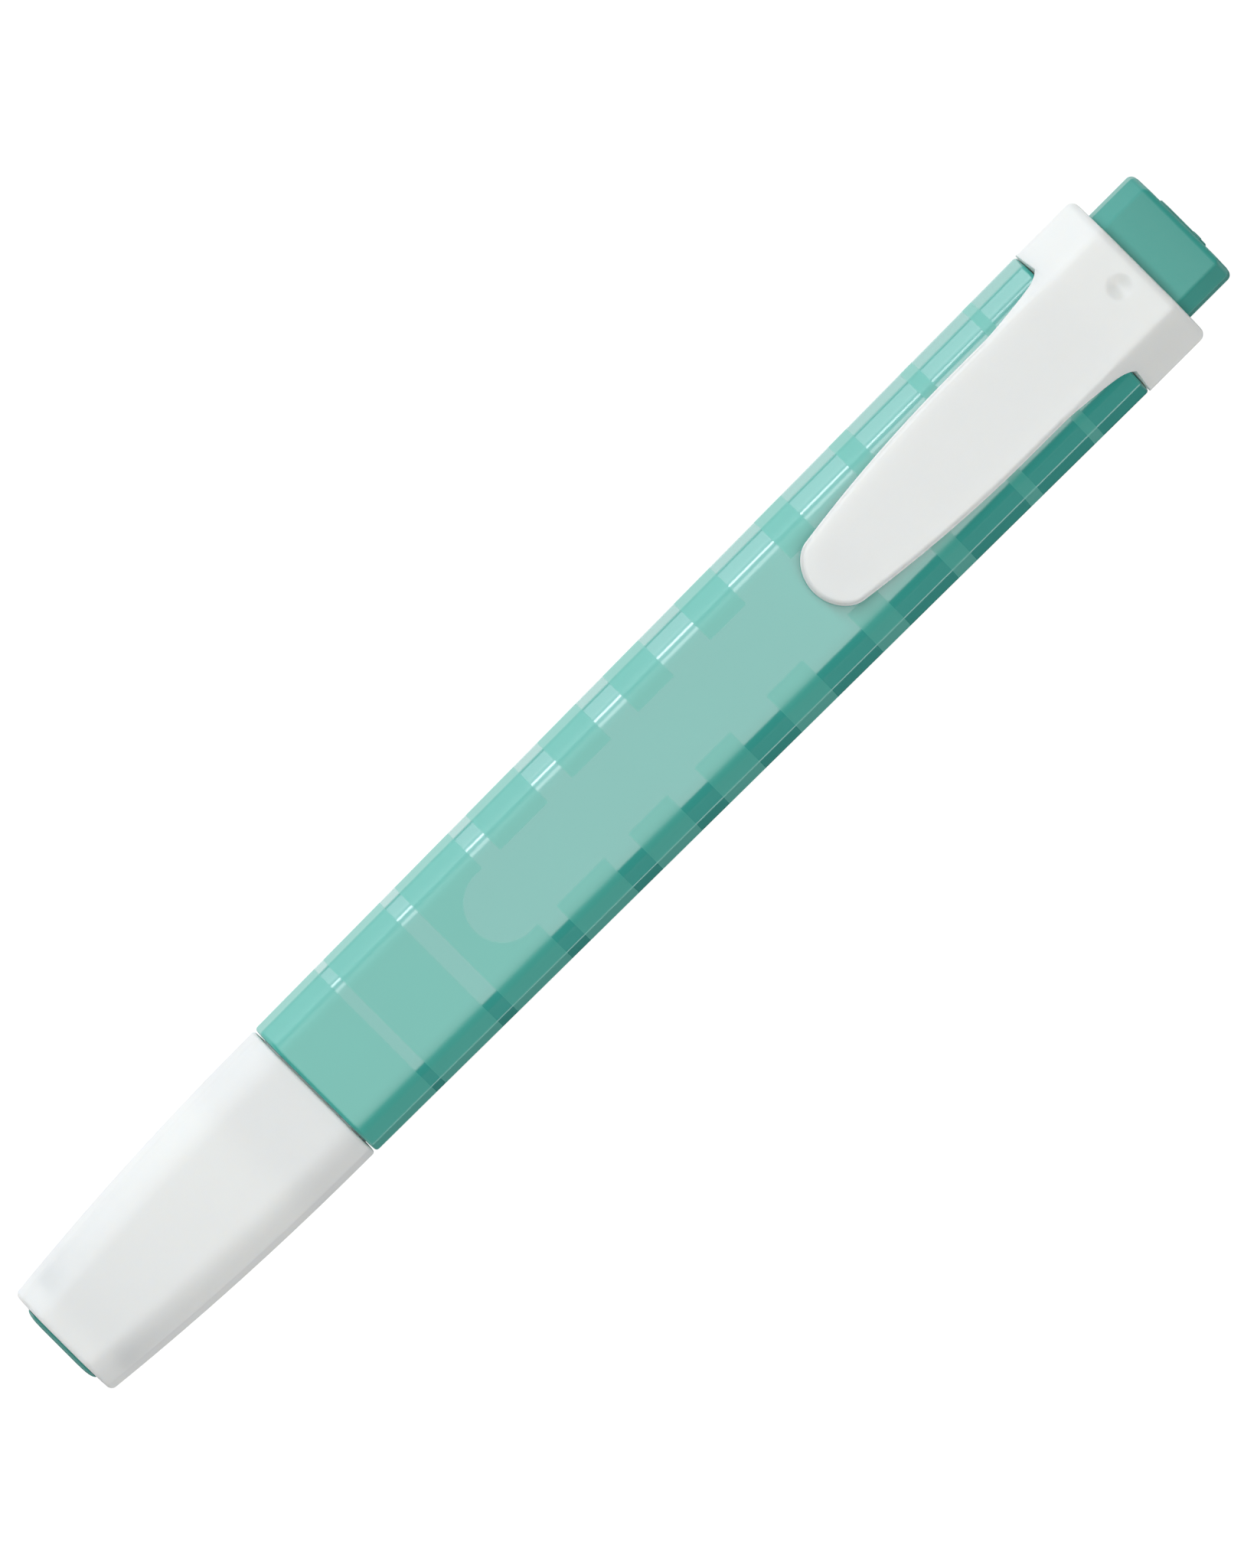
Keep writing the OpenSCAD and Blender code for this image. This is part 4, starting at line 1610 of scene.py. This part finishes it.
@dataclass
class EndPlug:
    """The plug that closes the barrel, with the posting stub, its low pad and its small pip.

    Attributes:
        at: The pen's stations.
        half: Half sizes of the plug.
        wall: Wall of the plug.
        end_r: Radius of the stub's end edge.
        lead: Size of the bevel on the end inside the barrel.
        pad: Half sizes of the pad on the stub's end.
        pad_h: Height of the pad.
        pip_h: Height of the pip on the pad.
        pip_r: Radius of the pip.
        pip_y: Place of the pip across the pen.
    """

    at: Stations
    half: tuple[float, float] = (6.18, 4.25)
    wall: float = 1.2
    end_r: float = 0.6
    lead: float = 0.3
    pad: tuple[float, float] = (2.75, 2.2)
    pad_h: float = 0.2
    pip_h: float = 0.1
    pip_r: float = 0.5
    pip_y: float = -1.6

    def build(self, material: bpy.types.Material) -> None:
        """Builds and hangs the plug.

        Args:
            material: The plug's finish.
        """
        at = self.at
        end = at.tail - self.pad_h - self.pip_h
        inner = BORE.ring(*grown(self.half, -self.wall))
        outer = BORE.ring(*self.half)
        stations: list[Station] = [(end - self.wall, inner), (at.shank, inner),
                                   (at.shank, BORE.ring(*grown(self.half, -self.lead))),
                                   (at.shank + self.lead, outer)]
        stations += [(x, outer) for x in between(at.shank + self.lead, end - self.end_r, 12)]
        stations += [(end - on, BORE.ring(*grown(self.half, -inset)))
                     for on, inset in reversed(rim(self.end_r, 8))]
        pad = [(end + on, block(*grown(self.pad, -inset), 0.8, 0.3))
               for on, inset in ((-0.3, 0.0), (self.pad_h - 0.08, 0.0), (self.pad_h, 0.1))]
        turns = np.linspace(0, 2 * math.pi, 40, endpoint=False)
        circle = np.stack([np.cos(turns), np.sin(turns)], axis=1)
        middle = np.array([self.pip_y, 0.0])
        pip = [(at.tail - on, (self.pip_r - inset) * circle + middle)
               for on, inset in ((self.pad_h + self.pip_h, 0.0), (0.04, 0.0), (0.0, 0.08))]
        lofts = [Loft(part, at.axis) for part in (stations, pad, pip)]
        report(lofted("tail_plug", lofts, material), "pen", "turquoise_plug", "end_plug")


# ------------------------------------------------------------------------------ studio


COOL = (0.95, 1.0, 1.04)
WARM = (1.0, 0.995, 0.975)
# the room's brightness at heights from straight down, -1, to straight up, 1
ROOM = ((-1.0, 0.03), (-0.72, 0.03), (-0.62, 2.0), (-0.48, 2.0), (-0.35, 0.06), (-0.035, 0.06),
        (-0.02, 0.7), (0.02, 0.7), (0.035, 0.06), (1.0, 0.06))


@dataclass
class Studio:
    """A white table under an arched softbox, with a window, a key and a low card on the pen's left.

    Attributes:
        view_h: Height of the view at the pen, in metres.
        distance: Distance of the lens from the floor, in metres.
        turn: Turn of the camera about the vertical, in degrees.
        canopy: The power of the long softbox that arches over the pen, in watts.
        window: The tall narrow light's power, which glosses the face's left edge.
        key: The narrow bright light's power, which draws the line along the rounded edge.
        card: The low card's power, which the leaning flank mirrors.
    """

    view_h: float = 0.1354
    distance: float = 2.4
    turn: float = -45.0
    canopy: float = 26.5
    window: float = 1.7
    key: float = 0.8
    card: float = 1.55

    def build(self, paper: bpy.types.Material) -> None:
        """Makes the floor, the lights and the camera.

        Args:
            paper: The floor's finish.
        """
        self._floor(paper)
        self._light("canopy", 90.0, 1.6, (0.8, 2.9), self.canopy, WARM)
        self._light("window", 38.0, 1.0, (0.12, 0.9), self.window, COOL)
        self._light("key", 25.0, 0.95, (0.12, 0.15), self.key, COOL)
        self._light("card", 4.5, 0.95, (0.4, 0.28), self.card, COOL)
        self._room()
        bpy.context.scene.view_settings.view_transform = "Standard"
        lens = bpy.data.cameras.new("camera")
        lens.lens = lens.sensor_width * self.distance / self.view_h
        lens.clip_start = 0.01
        lens.clip_end = 20.0
        camera = bpy.data.objects.new("camera", lens)
        camera.location = (0.0, 0.0, self.distance)
        camera.rotation_euler = (0.0, 0.0, math.radians(self.turn))
        bpy.context.scene.collection.objects.link(camera)
        bpy.context.scene.camera = camera

    @staticmethod
    def _room() -> None:
        """Paints the room: dark, with a thin pale line along the horizon and a floor lit from the left."""
        world = bpy.data.worlds.new("studio_room")
        world.use_nodes = True
        tree = world.node_tree
        tree.nodes.clear()
        aim = add(tree, "ShaderNodeTexCoord").outputs["Generated"]
        split = add(tree, "ShaderNodeSeparateXYZ", {0: aim}).outputs
        rise = split["Z"]
        share = add(tree, "ShaderNodeMapRange", {"Value": rise, "From Min": -1.0, "From Max": 1.0})
        ramp = add(tree, "ShaderNodeValToRGB", {0: share})
        stops = ramp.color_ramp.elements
        for height, level in ROOM[1:-1]:
            stops.new((height + 1) / 2).color = (level, level, level, 1)
        for end in (0, -1):
            level = ROOM[end][1]
            stops[end].color = (level, level, level, 1)
        below = add(tree, "ShaderNodeMapRange", {"Value": rise, "From Max": -0.05, "To Max": 1.4})
        left = add(tree, "ShaderNodeMapRange", {"Value": split["Y"], "From Max": 0.2})
        lit = add(tree, MATHS, {0: below, 1: left}, operation="MULTIPLY")
        brightest = add(tree, MATHS, {0: ramp, 1: lit}, operation="MAXIMUM")
        glow = add(tree, "ShaderNodeBackground", {"Color": brightest, "Strength": 1.0})
        add(tree, "ShaderNodeOutputWorld", {"Surface": glow})
        bpy.context.scene.world = world

    @staticmethod
    def _floor(paper: bpy.types.Material) -> None:
        """Lays the floor, a wide sheet just under the pen.

        Args:
            paper: The floor's finish.
        """
        mesh = bmesh.new()
        bmesh.ops.create_grid(mesh, x_segments=8, y_segments=8, size=20.0)
        floor = finished("floor", mesh, paper)
        floor.location.z = -0.02 * MM
        floor.visible_glossy = False

    @staticmethod
    def _light(name: str, elevation: float, distance: float, size: tuple[float, float], power: float,
               colour: tuple[float, float, float]) -> None:
        """Hangs a softbox on the pen's left, facing the pen.

        Args:
            name: The light's name.
            elevation: Its height above the horizon, in degrees.
            distance: Its distance from the pen, in metres.
            size: Its length along the pen and its width.
            power: Its power in watts.
            colour: Its linear colour.
        """
        lamp = bpy.data.lights.new(name, "AREA")
        lamp.shape = "RECTANGLE"
        lamp.size, lamp.size_y = size
        lamp.energy = power
        lamp.color = colour
        box = bpy.data.objects.new(name, lamp)
        up = math.radians(elevation)
        box.location = (0.0, distance * math.cos(up), distance * math.sin(up))
        box.rotation_euler = (up - math.pi / 2, 0.0, 0.0)
        box.visible_camera = False
        bpy.context.scene.collection.objects.link(box)


# -------------------------------------------------------------------------------- main


def dress_frame(finishes: dict[str, bpy.types.Material]) -> None:
    """Gives the frame nodes that stay in view their finishes.

    Args:
        finishes: The finish for each node.
    """
    for node, material in finishes.items():
        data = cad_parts[node].data
        data.materials.clear()
        data.materials.append(material)
        LOG.info("%s: frame node, dressed in %s", node, material.name)


def main() -> None:
    """Builds the pen piece by piece over the frame, then the studio round it."""
    logging.basicConfig(level=logging.INFO, format="%(name)s: %(message)s")
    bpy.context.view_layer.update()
    at = Stations.read()
    tree = SkinTree()
    tree.build()
    # moulded polypropylene is waxy: matt from its grain, with light soaking a little way in
    cap_white = Polypropylene("moulded_white_polypropylene_matt", "#F3F5F4", "#EFF1F0", 0.5, glow=0.6).build()
    # the clip's mould is finer, so its white has a quiet sheen
    clip_white = Polypropylene("moulded_white_polypropylene_satin", "#ECEEED", "#E8EAE9", 0.36,
                               grain_depth=0.04, glow=0.6).build()
    # a polished mould gives the plug and disc a smooth half gloss
    plug_green = Polypropylene("moulded_sea_green_polypropylene", "#3A9C91", "#36978C", 0.44,
                               grain_depth=0.03).build()
    banded = BandedBarrel("pastel_polypropylene_lacquer_bands", "#46B1A4", "#3BA59B", at.front, at.rear, 7.0,
                          -14.5, 3.4, at.axis).build()
    nib_fibre = BondedFibre("bonded_polyester_nib", "#5FBFAE", "#8AD6C8").build()
    core_fibre = BondedFibre("crimped_polyester_reservoir", "#9EDCD2", "#DDF3EF", 0.3).build()
    film = Polypropylene("clear_polypropylene_film", "#CFE6E4", "#C6E0DD", 0.12, glow=0.0).build()
    Cap(at).build(tree, cap_white, plug_green)
    Barrel(at).build(tree, banded)
    WritingEnd(at).build(cap_white, nib_fibre)
    ClipMoulding(at).build(clip_white)
    EndPlug(at).build(plug_green)
    dress_frame({"cap_sleeve": plug_green, "reservoir_core": core_fibre, "reservoir_film": film})
    Studio().build(StudioPaper("white_background_paper", "#7F7F7F").build())


if __name__ == "__main__":
    main()
